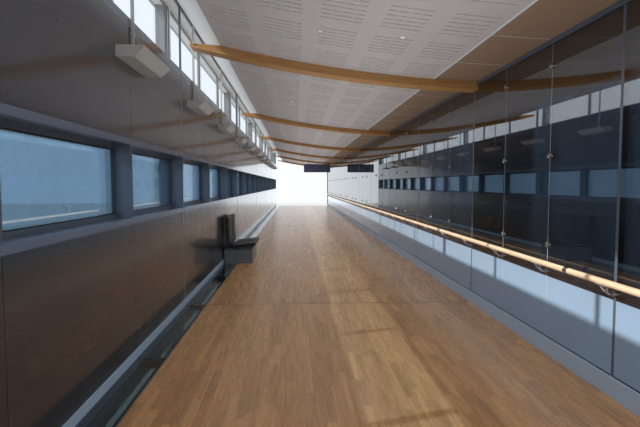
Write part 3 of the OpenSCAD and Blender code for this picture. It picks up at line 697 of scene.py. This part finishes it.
class WALKWAY_OT_floor_fittings(Operator):
    """Puts the rubber inlays in the floor joints, the edge screws and the seals of the glass strip"""

    bl_idname = "walkway.floor_fittings"
    bl_label = "Floor fittings"

    # Half widths of the rubber in the oak's joints and between the panes of the strip, how far the
    # rubber is let in or stands proud, and how deep it reaches between the panes
    inlay = 0.004
    seam = 0.0014
    sunk = 0.001
    proud = 0.0008
    deep = 0.026
    # Edge screws: pitch, distance from the strip's edge, and the head's height and two radii
    pitch = 0.4
    edge = 0.0085
    head = 0.0018
    foot_r = 0.0045
    top_r = 0.0034

    def execute(self, context):
        trim_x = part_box("floor_trims")[0].x
        strip_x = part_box("glass_floor")[0].x
        bm = bmesh.new()
        for y in lines(BAY):
            box_into(bm, (FLOOR_LOW.x, y - self.inlay, FLOOR_Z - self.sunk),
                     (FLOOR_HIGH.x, y + self.inlay, FLOOR_Z + self.proud))
        # One long seal along the metal edge of the strip
        box_into(bm, (trim_x - 0.0006, -Y_IN, FLOOR_Z - 0.004), (trim_x + 0.002, Y_IN, FLOOR_Z + 0.001))
        for y in lines(PANEL):
            box_into(bm, (strip_x, y - self.seam, FLOOR_Z - self.deep),
                     (trim_x, y + self.seam, FLOOR_Z - self.sunk))
        piece("floor_seals", bm, "trim_metal", "rubber")

        bm = bmesh.new()
        for k in range(round(2 * Y_IN / self.pitch)):
            spot = (trim_x + self.edge, (k + 0.5) * self.pitch - Y_IN, FLOOR_Z - self.sunk)
            pin_into(bm, spot, (0, 0, self.head), self.foot_r, 10, self.top_r)
        piece("edge_screws", bm, "trim_metal", "stainless")
        return {"FINISHED"}


class WALKWAY_OT_window_fittings(Operator):
    """Fits the gaskets round the panes, the outside sills and the edge strips of the wall panels"""

    bl_idname = "walkway.window_fittings"
    bl_label = "Window fittings"

    # Gaskets: half their thickness, and their width on the pane
    thick = 0.004
    wide = 0.007
    # Height of a sill's lip under the foot of its window
    lip = 0.085
    # Air at the ends of a sill, and over and under an edge strip
    air = 0.002
    # Edge strips of the wall panels: their two sides, from the beam line, and how far they are let
    # in and stand proud
    strip = (0.009, 0.0135)
    sunk = 0.012
    proud = 0.0012

    def execute(self, context):
        bm = bmesh.new()
        for z0, z1 in ((LONG_LOW, LONG_HIGH), (HIGH_LOW.z, HIGH_HIGH.z)):
            for y0, y1 in spans(PANEL, BAR_W):
                for x in (HIGH_LOW.x + GLASS_IN, HIGH_HIGH.x - GLASS_IN):
                    self.gasket(bm, x, y0, y1, z0 + BAR_W, z1 - BAR_W)
        piece("window_gaskets", bm, "dark_frame", "rubber")

        bm = bmesh.new()
        back, out_x = HIGH_LOW.x, CLAD_LOW.x
        for z in (LONG_LOW, HIGH_LOW.z):
            lip = z - self.lip
            # The folded sheet: down its upper side to the lip, and back along its underside
            outline = [
                (back - 0.006, z + 0.014), (back - 0.006, z + 0.016), (out_x - 0.022, z + 0.002),
                (out_x - 0.022, lip + 0.008), (out_x - 0.03, lip), (out_x - 0.0316, lip),
                (out_x - 0.024, lip + 0.008), (out_x - 0.024, z + 0.004), (back - 0.006, z + 0.019),
                (back - 0.001, z + 0.019), (back - 0.001, z + 0.001), (back - 0.004, z + 0.001),
                (back - 0.004, z + 0.014),
            ]
            for y0, y1 in spans(BAY, POST_W):
                outline_into(bm, outline, y0 + self.air, y1 - self.air)
        piece("outside_sills", bm, "cladding")

        bm = bmesh.new()
        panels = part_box("lower_panels"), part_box("upper_panels")
        for y in lines(BAY)[1:-1]:
            for side in (-1, 1):
                a, b = (y + side * step for step in self.strip)
                for low, high in panels:
                    box_into(bm, (WALL_X - self.sunk, a, low.z + self.air),
                             (WALL_X + self.proud, b, high.z - self.air))
        piece("panel_edges", bm, "trim_metal")
        return {"FINISHED"}

    def gasket(self, bm, x, y0, y1, z0, z1):
        """Four strips of rubber round one side of a pane."""
        wide = self.wide
        for a, b, low, high in (
            (y0, y0 + wide, z0, z1), (y1 - wide, y1, z0, z1),
            (y0 + wide, y1 - wide, z0, z0 + wide), (y0 + wide, y1 - wide, z1 - wide, z1),
        ):
            box_into(bm, (x - self.thick, a, low), (x + self.thick, b, high))


class WALKWAY_OT_screen_fittings(Operator):
    """Fits the seals, clamp caps and gaskets of the glass screen, and the sleeves of its handrail"""

    bl_idname = "walkway.screen_fittings"
    bl_label = "Screen fittings"

    # Seals: half their thickness and width, their distance from the clamps, how far they reach down
    # into the base channel, and how far they keep under the top of the glass
    thick = 0.0085
    seam = 0.0038
    apart = 0.004
    deep = 0.03
    short = 0.02
    # Caps of the clamps: radius and height
    cap_r = 0.025
    cap_h = 0.006
    # Foot gasket: gap at the posts, how far it stands over the channel and is let into it, and the
    # chamfer along it, which the rail's sleeves have too
    gap = 0.034
    proud = 0.007
    sunk = 0.001
    chamfer = 0.002
    # Sleeves round the rail's joints: half their length, without the chamfers, and their thickness.
    # End caps: thickness, and the length outside the rail's end before the cap narrows
    sleeve = 0.028
    thin = 0.0018
    cap = 0.002
    cap_out = 0.008

    def execute(self, context):
        posts = PANES_PER_BAY // 2
        open_joints = [y for k, y in enumerate(lines(PANE)) if k % posts]
        marks = [BASE_TOP, *(FLOOR_Z + z for z in PATCH_LEVELS), GLASS_HIGH.z - self.short]
        bm = bmesh.new()
        for y in open_joints:
            for low, high in zip(marks, marks[1:]):
                start = low + (self.apart if low > BASE_TOP else -self.deep)
                box_into(bm, (SCREEN_X - self.thick, y - self.seam, start),
                         (SCREEN_X + self.thick, y + self.seam, high - self.apart))
        piece("screen_seals", bm, "screen_glass", "clear_seal")

        bm = bmesh.new()
        low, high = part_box("patch_fittings")
        face = (high.x - low.x) / 2
        for y in open_joints:
            for z in PATCH_LEVELS:
                for side in (-1, 1):
                    spot = (SCREEN_X + side * face, y, FLOOR_Z + z)
                    cap_into(bm, spot, (side, 0, 0), self.cap_r, self.cap_h)
        piece("clamp_caps", bm, "stainless")

        bm = bmesh.new()
        for y0, y1 in spans(BAY / 2, self.gap):
            verts = box_into(bm, (GLASS_LOW.x - self.thick, y0, BASE_TOP - self.sunk),
                             (GLASS_LOW.x, y1, BASE_TOP + self.proud))
            edges = {e for v in verts for e in v.link_edges if e.calc_length() > 1}
            soften(bm, self.chamfer, segments=1, edges=edges)
        piece("foot_gasket", bm, "dark_frame", "rubber")

        bm = bmesh.new()
        rail_x, rail_z = (RAIL_LOW.x + RAIL_HIGH.x) / 2, (RAIL_LOW.z + RAIL_HIGH.z) / 2
        rail_r = (RAIL_HIGH.x - RAIL_LOW.x) / 2
        sleeve_r, end_r = rail_r + self.thin, rail_r + self.cap
        for y in lines(BAY)[:-1]:
            middle = Vector((rail_x, y + BAY / 2 + PANE / 2, rail_z))
            pin_into(bm, middle - Vector((0, self.sleeve, 0)), (0, 2 * self.sleeve, 0), sleeve_r, 40)
            for side in (-1, 1):
                end = middle + Vector((0, side * self.sleeve, 0))
                pin_into(bm, end, (0, side * self.chamfer, 0), sleeve_r, 40, rail_r)
        for side in (-1, 1):
            end = Vector((rail_x, side * RAIL_HIGH.y, rail_z))
            step = Vector((0, side * self.cap_out, 0))
            pin_into(bm, end - step * 4, step * 5, end_r, 40)
            pin_into(bm, end + step, step * 0.8, end_r, 40, rail_r * 0.75)
        piece("rail_sleeves", bm, "stainless")
        return {"FINISHED"}


class WALKWAY_OT_ceiling_fittings(Operator):
    """Adds the joint profiles of the plain ceiling and the turned rims of the ceiling spots"""

    bl_idname = "walkway.ceiling_fittings"
    bl_label = "Ceiling fittings"

    # Rows of spots: distance from the screen, diameter, and places along a bay
    rows = ((2.15, 0.07, (0.25, 0.75)), (1.35, 0.09, (0.05, 0.38, 0.72)), (2.47, 0.11, (0.5,)))
    # Distance of the plain ceiling from the screen's middle
    head = 0.035
    # Joint profiles: half their width, and how far the cross ones and the long one stand proud
    joint = 0.003
    proud = 0.0015
    long_proud = 0.004

    def execute(self, context):
        bm = bmesh.new()
        inner = (CEILING_HIGH.x + 0.003, SCREEN_X - self.head)
        outer = (SCREEN_X + self.head, PLAIN_END - 0.01)
        for k, y in enumerate(lines(PANE)):
            if k % PANES_PER_BAY:
                for x0, x1 in (inner, outer):
                    self.strip(bm, x0, x1, y - self.joint, y + self.joint, self.proud)
        x0, x1 = CEILING_HIGH.x - 0.009, CEILING_HIGH.x + 0.012
        for y0, y1 in spans(BAY, BEAM_W):
            self.strip(bm, x0, x1, y0, y1, self.long_proud, steps=1)
        piece("ceiling_joints", bm, "light_frame")

        bm = bmesh.new()
        for start in lines(BAY)[:-1]:
            for off, size, shares in self.rows:
                for share in shares:
                    self.spot(bm, SCREEN_X - off, start + share * BAY, size / 2)
        spots = piece("ceiling_spot_rims", bm, "light_housing", "light_housing", "lens")
        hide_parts("ceiling_spots")
        return {"FINISHED"}

    def strip(self, bm, x0, x1, y0, y1, proud, steps=8):
        """A profile that follows the curve of the ceiling."""
        run = [x0 + (x1 - x0) * k / steps for k in range(steps + 1)]
        under = [(x, ceiling_z(x) - proud) for x in run]
        over = [(x, ceiling_z(x) + 0.002) for x in reversed(run)]
        outline_into(bm, under + over, y0, y1)

    def spot(self, bm, x, y, radius):
        """A turned rim round a sunken lens, square to the curve of the ceiling."""
        tilt = math.asin((ARC_X - x) / (ARC_R - BEAM_SHOW))
        stand = Matrix.Translation((x, y, ceiling_z(x))) @ Matrix.Rotation(tilt, 4, "Y")
        down = (stand.to_3x3() @ Vector((0, 0, -1))).normalized()
        made = bmesh.ops.create_cone(bm, cap_ends=True, segments=28, radius1=0.84 * radius,
                                     radius2=radius, depth=0.008,
                                     matrix=stand @ Matrix.Translation((0, 0, -0.0035)))["verts"]
        face = max({f for v in made for f in v.link_faces}, key=lambda f: f.normal.dot(down))
        for ring, rise in ((0.16, -0.0045), (0.12, 0.001)):
            bmesh.ops.inset_region(bm, faces=[face], thickness=ring * radius)
            bmesh.ops.translate(bm, verts=face.verts, vec=down * rise)
        face.material_index = 1


class WALKWAY_OT_wall_light_fittings(Operator):
    """Adds the end plates, screws and stem roses of the wall lights"""

    bl_idname = "walkway.wall_light_fittings"
    bl_label = "Wall light fittings"

    # The lights along the wall: start of the first, pitch, length, and height of the tray
    first = 1.0
    pitch = 2.65
    long = 0.82
    tall = 0.09
    # The tray's slope: where it starts, as a share of the reach, and ends, as a share of the height
    slope_out = 0.62
    slope_up = 0.8
    # How far an end plate stands past the tray all round, and past its end
    proud = 0.0025
    plate = 0.003
    # Places of an end plate's screws, as shares of the tray's reach and height
    screws = ((0.2, 0.25), (0.2, 0.75), (0.86, 0.8))
    # The stem's middle from the wall, and its clips: half their width, which is also how far they
    # stand out of the wall, and half their height
    stem = 0.0125
    clip_w = 0.028
    clip_h = 0.012

    def execute(self, context):
        low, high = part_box("wall_lights")
        out = high.x - WALL_X
        foot = low.z + self.tall
        plates, screws = bmesh.new(), bmesh.new()
        back, top = WALL_X + 0.001, foot + self.proud
        outline = [
            (back, low.z - self.proud), (back + self.slope_out * out, low.z - self.proud),
            (high.x + self.proud, low.z + self.slope_up * self.tall - 0.002),
            (high.x + self.proud, top), (back, top),
        ]
        for k in range(int((RUN - self.first - self.long) / self.pitch) + 1):
            near = self.first + k * self.pitch - RUN / 2
            for y, side in ((near, -1), (near + self.long, 1)):
                end = y + side * self.plate
                outline_into(plates, outline, *sorted((y - side * 0.004, end)))
                for x, z in self.screws:
                    spot = (WALL_X + x * out, end, low.z + z * self.tall)
                    pin_into(screws, spot, (0, side * 0.002, 0), 0.004, 12, 0.003)
            middle = near + self.long / 2
            pin_into(plates, (WALL_X + self.stem, middle, foot), (0, 0, 0.02), 0.021, 20, 0.0185)
            # One clip a little over the tray, and one high up
            for z in (foot + 0.09, FLOOR_Z + 2.95):
                verts = box_into(plates, (WALL_X + 0.0005, middle - self.clip_w, z - self.clip_h),
                                 (WALL_X + self.clip_w, middle + self.clip_w, z + self.clip_h))
                edges = {e for v in verts if v.co.x > WALL_X + self.stem for e in v.link_edges}
                soften(plates, 0.003, edges=edges)
        piece("light_end_plates", plates, "light_housing")
        piece("light_screws", screws, "stainless")
        return {"FINISHED"}


class WALKWAY_OT_steel_fittings(Operator):
    """Bolts up the collars and seats, plugs the beams, stiffens the girders and rings the feet"""

    bl_idname = "walkway.steel_fittings"
    bl_label = "Steel fittings"

    # Collars round the column heads: thickness, bolts all round, and depth of the two rows
    collar = 0.02
    around = 14
    drops = (0.07, 0.21)
    # Bolts: radius of the washer, distance from the girder's middle, and their places along it from
    # the right-hand column's face and from the left-hand column's middle
    washer = 0.014
    gauge = 0.065
    right_bolts = (-0.08, -0.2)
    left_bolts = (-0.14, 0.14)
    # Girders: thickness of a flange, half that of the web and of a stiffener, and how far the
    # stiffener reaches from the girder's middle
    flange = 0.02
    thin = 0.006
    reach = 0.092
    # Beam plugs: place along the beam, height over its underside, and radius
    plug_in = 0.2
    plug_up = 0.038
    plug_r = 0.013
    # Foot rings: width round a right-hand and a left-hand column, heights of the outer edge and of
    # the top, how far the top stands off the column, and how far the ring is let into it
    right_ring = 0.03
    left_ring = 0.025
    ring_edge = 0.012
    ring_top = 0.05
    ring_off = 0.006
    ring_in = 0.004

    def execute(self, context):
        bolts, plates, rings, plugs = bmesh.new(), bmesh.new(), bmesh.new(), bmesh.new()
        left_low, left_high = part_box("left_columns")
        left_x, left_r = (left_low.x + left_high.x) / 2, (left_high.x - left_low.x) / 2
        face_x = COLUMN_X - COLUMN_R
        bolt_xs = [face_x + x for x in self.right_bolts] + [left_x + x for x in self.left_bolts]
        collar_r = COLUMN_R + self.collar
        plug_x = BEAM_LOW.x + self.plug_in
        flange_z = GIRDER_LOW.z + self.flange
        for y in lines(BAY):
            for k in range(self.around):
                turn = 2 * math.pi * (k + 0.5) / self.around
                out = Vector((math.cos(turn), math.sin(turn), 0))
                # No bolts where the girder meets the collar
                if out.x < -0.75:
                    continue
                for drop in self.drops:
                    spot = Vector((COLUMN_X, y, GIRDER_LOW.z - drop)) + out * collar_r
                    bolt_into(bolts, spot, out, self.washer)
            for side in (-1, 1):
                for x in bolt_xs:
                    bolt_into(bolts, (x, y + side * self.gauge, flange_z), (0, 0, 1), self.washer)
                for x in (face_x - 0.14, left_x, GIRDER_LOW.x + 0.1):
                    box_into(plates, (x - self.thin, y + side * self.thin, flange_z),
                             (x + self.thin, y + side * self.reach, GIRDER_HIGH.z - self.flange))
                spot = (plug_x, y + side * BEAM_W / 2, ceiling_z(plug_x, 0.0) + self.plug_up)
                pin_into(plugs, spot, (0, side * 0.0015, 0), self.plug_r, 20, 0.012)
            self.ring(rings, COLUMN_X, y, COLUMN_R, self.right_ring)
            self.ring(rings, left_x, y, left_r, self.left_ring)
        piece("steel_bolts", bolts, "painted_steel", "bolt_zinc")
        piece("beam_plugs", plugs, "glulam", "rubber")
        piece("web_stiffeners", plates, "painted_steel")
        piece("column_foot_rings", rings, "painted_steel")
        return {"FINISHED"}

    def ring(self, bm, x, y, radius, width):
        """A sloped steel ring round a column where it meets the ground."""
        inner, outer = radius - self.ring_in, radius + width
        profile = [(inner, 0.0), (outer, 0.0), (outer, self.ring_edge),
                   (radius + self.ring_off, self.ring_top), (inner, self.ring_top)]
        verts = [bm.verts.new((x + r, y, z)) for r, z in profile]
        edges = [bm.edges.new((a, b)) for a, b in zip(verts, verts[1:] + verts[:1])]
        bmesh.ops.spin(bm, geom=verts + edges, cent=(x, y, 0), axis=(0, 0, 1),
                       angle=2 * math.pi, steps=64, use_merge=True)
        faces = [f for f in bm.faces if (f.calc_center_median().xy - Vector((x, y))).length < 1.0]
        bmesh.ops.recalc_face_normals(bm, faces=faces)


class WALKWAY_OT_roof_seams(Operator):
    """Folds the standing seams of the roof sheets"""

    bl_idname = "walkway.roof_seams"
    bl_label = "Roof seams"

    # Thickness of the roof deck and half that of a seam, the distance of a seam from the roof's
    # edge, the length over which it rises, and the radius of its rolled edge
    deck = 0.12
    thin = 0.003
    start = 0.2
    rise = 0.03
    roll_r = 0.0055

    def execute(self, context):
        pitch = context.scene.walkway_sizes.roof_seam
        slope = (ROOF_HIGH.z - ROOF_LOW.z - self.deck) / (ROOF_HIGH.x - ROOF_LOW.x)
        start, end = ROOF_LOW.x + self.start, ROOF_HIGH.x - 0.01
        z0, z1 = (ROOF_HIGH.z - slope * (x - ROOF_LOW.x) for x in (start, end))
        outline = [(start, z0 - self.thin), (end, z1 - self.thin), (end, z1 + 0.024),
                   (start + self.rise, z0 + 0.02)]
        count = int(2 * (Y_IN - 0.1) / pitch)
        bm = bmesh.new()
        for k in range(count + 1):
            y = (k - count / 2) * pitch
            outline_into(bm, outline, y - self.thin, y + self.thin)
            rod_into(bm, (start + self.rise, y, z0 + 0.0165), (end, y, z1 + 0.0205), self.roll_r, 8)
        piece("roof_seams", bm, "roof_metal")
        return {"FINISHED"}


class WALKWAY_OT_cladding_rivets(Operator):
    """Rivets the outer cladding along the edges of its sheets"""

    bl_idname = "walkway.cladding_rivets"
    bl_label = "Cladding rivets"

    # Pitch of the rivets, and their distance from a sheet's long and short edges
    pitch = 0.45
    edge_y = 0.035
    edge_z = 0.1
    # Narrowest sheet that is riveted
    narrowest = 0.2

    def execute(self, context):
        bands = ((CLAD_LOW.z, LONG_LOW - BAND_H), (LONG_HIGH + BAND_H, HIGH_LOW.z))
        sheets = [(y0, y1) for y0, y1 in spans(PANEL, 0.01) if y1 - y0 > self.narrowest]
        bm = bmesh.new()
        for z0, z1 in bands:
            rows = max(2, round((z1 - z0) / self.pitch) + 1)
            for y0, y1 in sheets:
                for y in (y0 + self.edge_y, (y0 + y1) / 2, y1 - self.edge_y):
                    for row in range(rows):
                        z = z0 + self.edge_z + (z1 - z0 - 2 * self.edge_z) * row / (rows - 1)
                        pin_into(bm, (CLAD_LOW.x + 0.001, y, z), (-0.0035, 0, 0), 0.0075, 12, 0.004)
        piece("cladding_rivets", bm, "cladding", "bolt_zinc")
        return {"FINISHED"}


class WALKWAY_OT_sign(Operator):
    """Makes the hanging sign: rimmed case with bare faces, rods and ceiling roses"""

    bl_idname = "walkway.sign"
    bl_label = "Hanging sign"

    # The case: height, rounding, width of its rim, and how deep its faces lie
    tall = 0.45
    rounding = 0.012
    rim = 0.014
    sunk = 0.008
    # The rods: radius, and height of the roses at both ends
    rod_r = 0.01
    rose = 0.03

    def execute(self, context):
        low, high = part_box("hanging_sign")
        case_top = low.z + self.tall
        bm = bmesh.new()
        box_into(bm, low, (high.x, high.y, case_top))
        soften(bm, self.rounding, segments=3)
        bm.normal_update()
        for side in (-1, 1):
            face = max(bm.faces, key=lambda f: f.normal.y * side * f.calc_area())
            bmesh.ops.inset_region(bm, faces=[face], thickness=self.rim)
            bmesh.ops.translate(bm, verts=face.verts, vec=(0, -side * self.sunk, 0))
            face.material_index = 1
        middle, reach = (low.x + high.x) / 2, (high.x - low.x) / 3
        y = (low.y + high.y) / 2
        for x in (middle - reach, middle + reach):
            end = ceiling_z(x) - 0.0005
            rod_into(bm, (x, y, case_top - 0.002), (x, y, end), self.rod_r, 20)
            rod_into(bm, (x, y, case_top), (x, y, case_top + self.rose), 0.022, 24, 0.014)
            rod_into(bm, (x, y, ceiling_z(x) - self.rose), (x, y, end), 0.02, 24, 0.032)
        sign = piece("sign_case", bm, "sign_dark", "sign_dark", "sign_face")
        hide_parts("hanging_sign")
        return {"FINISHED"}


class WALKWAY_OT_bench_pads(Operator):
    """Upholsters the two seats: crowned pads with sewn ribs across seat and back"""

    bl_idname = "walkway.bench_pads"
    bl_label = "Bench pads"

    # Outlines in X from the wall's face and Z from the floor, a little inside the finished pads
    seat = ((0.157, 0.326), (0.64, 0.376), (0.665, 0.378), (0.664, 0.421), (0.157, 0.369))
    back = ((0.09, 0.342), (0.136, 0.342), (0.116, 0.957), (0.054, 0.958), (0.054, 0.944),
            (0.0665, 0.936))
    # The ways their shown faces look
    seat_away = Vector((-0.1, 0.0, 1.0))
    back_away = Vector((1.0, 0.0, 0.03))
    # Gap between two pads, and how far their forms keep off both ends
    gap = 0.008
    inset = (0.006, 0.014)
    # Rounding of the form, size of its mesh, and the cloth's frames, pressure and stiffness
    rounding = 0.016
    voxel = 0.009
    frames = 20
    pressure = 4.0
    stiffness = 40.0
    # Furthest that the cloth swells
    most = 0.009
    # The sewn channels, which only faces that look the shown way by at least a share have
    rib_depth = 0.0055
    rib_width = 0.006
    facing_least = 0.2

    def execute(self, context):
        low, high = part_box("bench_pads")
        half = (high.y - low.y + self.gap) / 2
        near, far = low.y + self.inset[0], low.y + half - self.inset[1]
        for name, outline, away in (
            ("seat", self.seat, self.seat_away), ("back", self.back, self.back_away)
        ):
            mesh = self.cushion(context, outline, near, far, away.normalized())
            for k in range(2):
                bm = bmesh.new()
                bm.from_mesh(mesh)
                bmesh.ops.translate(bm, verts=bm.verts, vec=(0, k * half, 0))
                pad = piece(f"{name}_pad_{k + 1}", bm, "bench_upholstery", smooth=True)
                if name == "seat" and k == 0:
                    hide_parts("bench_pads")
        return {"FINISHED"}

    def cushion(self, context, outline, near, far, away):
        """Inflates one pad, keeps it off its shell, and sews the ribs into its shown face."""
        scene = context.scene
        bm = bmesh.new()
        outline_into(bm, [(WALL_X + x, FLOOR_Z + z) for x, z in outline], near, far)
        soften(bm, self.rounding, segments=3, angle=0.9)
        form = object_of("pad_form", bm)
        remesh = form.modifiers.new("remesh", "REMESH")
        remesh.mode = "VOXEL"
        remesh.voxel_size = self.voxel
        form.data = self.settled(context, form)
        form.modifiers.clear()
        before = [v.co.copy() for v in form.data.vertices]
        cloth = form.modifiers.new("cloth", "CLOTH")
        cloth.settings.use_pressure = True
        cloth.settings.uniform_pressure_force = self.pressure
        cloth.settings.effector_weights.gravity = 0.0
        cloth.settings.tension_stiffness = self.stiffness
        cloth.point_cache.frame_start = 1
        cloth.point_cache.frame_end = self.frames
        for frame_number in range(1, self.frames + 1):
            scene.frame_set(frame_number)
        swollen = self.settled(context, form)
        form.modifiers.clear()
        scene.frame_set(1)
        for vert, start, end in zip(form.data.vertices, before, swollen.vertices):
            step = end.co - start
            if step.dot(away) < 0:
                step -= away * step.dot(away)
            if step.length > self.most:
                step.length = self.most
            vert.co = start + step
        smooth = form.modifiers.new("smooth", "SUBSURF")
        smooth.levels = smooth.render_levels = 1
        pad = self.settled(context, form)
        bpy.data.objects.remove(form)
        along = Vector((away.z, 0.0, -away.x))
        reach = [v.co.dot(along) for v in pad.vertices]
        start, end = min(reach), max(reach)
        count = round((end - start) / scene.walkway_sizes.rib)
        pitch = (end - start) / count
        normals = [v.normal.copy() for v in pad.vertices]
        for vert, spot, normal in zip(pad.vertices, reach, normals):
            facing = normal.dot(away)
            turn = (spot - start) / pitch
            if facing >= self.facing_least and 0 < round(turn) < count:
                off = abs(turn - round(turn)) * pitch
                sink = self.rib_depth * math.exp(-((off / self.rib_width) ** 2))
                vert.co -= away * sink * min(1.0, facing * 1.4)
        return pad

    def settled(self, context, obj):
        """The mesh that an object's modifiers leave."""
        context.view_layer.update()
        graph = context.evaluated_depsgraph_get()
        return bpy.data.meshes.new_from_object(obj.evaluated_get(graph))


class WALKWAY_OT_bench_plinth(Operator):
    """Sets the bench's leg in a wide steel box with a lid"""

    bl_idname = "walkway.bench_plinth"
    bl_label = "Bench plinth"

    # Heights over the floor of the shadow joint's two edges and of the lid's top, and how far the
    # joint lies in and reaches into the box and the lid
    marks = (0.262, 0.266, 0.285)
    sunk = 0.006
    reach = 0.01
    # The box's distance from the skirting, and from the front and ends of the bench
    air = 0.012
    front = 0.048
    ends = 0.038

    def execute(self, context):
        low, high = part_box("bench_frame")
        back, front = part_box("skirting")[1].x + self.air, high.x - self.front
        near, far = low.y + self.ends, high.y - self.ends
        foot, lid, top = self.marks
        bm = bmesh.new()
        for z0, z1, inset in (
            (0.0, foot, 0.0), (foot - self.reach, lid + self.reach, self.sunk), (lid, top, 0.0)
        ):
            box_into(bm, (back + inset, near + inset, FLOOR_Z + z0),
                     (front - inset, far - inset, FLOOR_Z + z1))
        soften(bm, 0.0015)
        piece("bench_plinth", bm, "bench_metal", paint("plinth_steel", (0.12, 0.14, 0.145), 0.24))
        return {"FINISHED"}


class WALKWAY_OT_stage(Operator):
    """Sets up the pale floor, the soft lights and the camera"""

    bl_idname = "walkway.stage"
    bl_label = "Stage"

    # The eye stands at the near end, 1.6 m over the floor, and looks down and to the right by
    # these degrees
    eye = (-1.0, -18.52, FLOOR_Z + 1.6)
    pitch = 3.39
    yaw = 2.83
    lens = 27.56
    # Strength, degrees across, colour and heading of the sun
    sun_energy = 5.2
    sun_width = 0.7
    sun_colour = (1.0, 0.94, 0.86)
    heading = Vector((1.0, 0.3, -0.67))
    # The soft lamps of each bay: name, height over the floor, turn and power
    glows = (("ceiling_glow", 1.7, math.pi, 36.0), ("floor_glow", 2.65, 0.0, 50.0))
    # Their width, the place of their middle across the walkway, and their colour
    glow_width = 2.4
    glow_x = -0.4
    glow_colour = (0.86, 0.93, 1.0)
    # Colour of the sky, and its brightness in plain view, in mirrors, and as a light
    sky_colour = (0.9, 0.95, 1.0, 1.0)
    shown = 1.1
    mirrored = 1.35
    lit = 0.75

    def execute(self, context):
        scene = context.scene
        data = bpy.data.cameras.new("view_camera")
        data.lens = self.lens
        data.sensor_width = 36.0
        data.clip_start = 0.05
        data.clip_end = 500.0
        camera = bpy.data.objects.new("view_camera", data)
        camera.location = self.eye
        camera.rotation_euler = (math.radians(90.0 - self.pitch), 0.0, math.radians(-self.yaw))
        scene.collection.objects.link(camera)
        scene.camera = camera
        scene.view_settings.view_transform = "Standard"
        self.floor()
        self.lamps(scene)
        self.sky(scene)
        return {"FINISHED"}

    def floor(self):
        """The pale ground, a little under the feet of the columns."""
        bm = bmesh.new()
        bmesh.ops.create_grid(bm, x_segments=1, y_segments=1, size=150.0,
                              matrix=Matrix.Translation((0, 0, -0.002)))
        floor = object_of("pale_floor", bm)
        floor.data.materials.append(paint("pale_floor", (0.5, 0.51, 0.52), 0.8, mottle=0.02))

    def lamp(self, scene, name, kind, energy, hue):
        """A lamp of its own colour and strength."""
        data = bpy.data.lights.new(name, kind)
        data.energy = energy
        data.color = hue
        lamp = bpy.data.objects.new(name, data)
        scene.collection.objects.link(lamp)
        return lamp, data

    def lamps(self, scene):
        """The sun, and two soft lamps in each bay that no mirror shows."""
        sun, data = self.lamp(scene, "sun_lamp", "SUN", self.sun_energy, self.sun_colour)
        data.angle = math.radians(self.sun_width)
        sun.rotation_euler = self.heading.to_track_quat("-Z", "Y").to_euler()
        for y in lines(BAY)[:-1]:
            for name, up, turn, power in self.glows:
                glow, data = self.lamp(scene, name, "AREA", power, self.glow_colour)
                data.shape = "RECTANGLE"
                data.size = self.glow_width
                data.size_y = BAY
                glow.location = (self.glow_x, y + BAY / 2, FLOOR_Z + up)
                glow.rotation_euler = (turn, 0.0, 0.0)
                glow.visible_camera = False
                glow.visible_glossy = False
                glow.visible_transmission = False

    def sky(self, scene):
        """A plain sky whose brightness depends on how it is seen."""
        world = bpy.data.worlds.new("pale_sky")
        scene.world = world
        world.use_nodes = True
        tree = world.node_tree
        rays = tree.nodes.new("ShaderNodeLightPath").outputs
        bright = self.lit
        for ray, own in (("Is Camera Ray", self.shown), ("Is Glossy Ray", self.mirrored)):
            bright = maths(tree, "MULTIPLY_ADD", rays[ray], own - self.lit, bright)
        set_inputs(tree, tree.nodes["Background"], color=self.sky_colour, strength=bright)


class WALKWAY_PT_panel(Panel):
    """Steps, sizes and colours of the walkway"""

    bl_idname = "WALKWAY_PT_panel"
    bl_label = "Walkway"
    bl_space_type = "VIEW_3D"
    bl_region_type = "UI"
    bl_category = "Walkway"

    def draw(self, context):
        for step in STEPS:
            self.layout.operator(step.bl_idname)
        for group in (context.scene.walkway_sizes, context.scene.walkway_colours):
            for name in group.__annotations__:
                self.layout.prop(group, name)


STEPS = (
    WALKWAY_OT_stage,
    WALKWAY_OT_finishes,
    WALKWAY_OT_oak_boards,
    WALKWAY_OT_slotted_ceiling,
    WALKWAY_OT_floor_fittings,
    WALKWAY_OT_window_fittings,
    WALKWAY_OT_screen_fittings,
    WALKWAY_OT_ceiling_fittings,
    WALKWAY_OT_wall_light_fittings,
    WALKWAY_OT_steel_fittings,
    WALKWAY_OT_roof_seams,
    WALKWAY_OT_cladding_rivets,
    WALKWAY_OT_sign,
    WALKWAY_OT_bench_pads,
    WALKWAY_OT_bench_plinth,
)
CLASSES = (WalkwayColours, WalkwaySizes, *STEPS, WALKWAY_PT_panel)


def register():
    for cls in CLASSES:
        bpy.utils.register_class(cls)
    bpy.types.Scene.walkway_colours = PointerProperty(type=WalkwayColours)
    bpy.types.Scene.walkway_sizes = PointerProperty(type=WalkwaySizes)


def unregister():
    del bpy.types.Scene.walkway_sizes
    del bpy.types.Scene.walkway_colours
    for cls in reversed(CLASSES):
        bpy.utils.unregister_class(cls)


def main():
    register()
    for step in STEPS:
        name = step.bl_idname.split(".")[1]
        getattr(bpy.ops.walkway, name)()


if __name__ == "__main__":
    main()
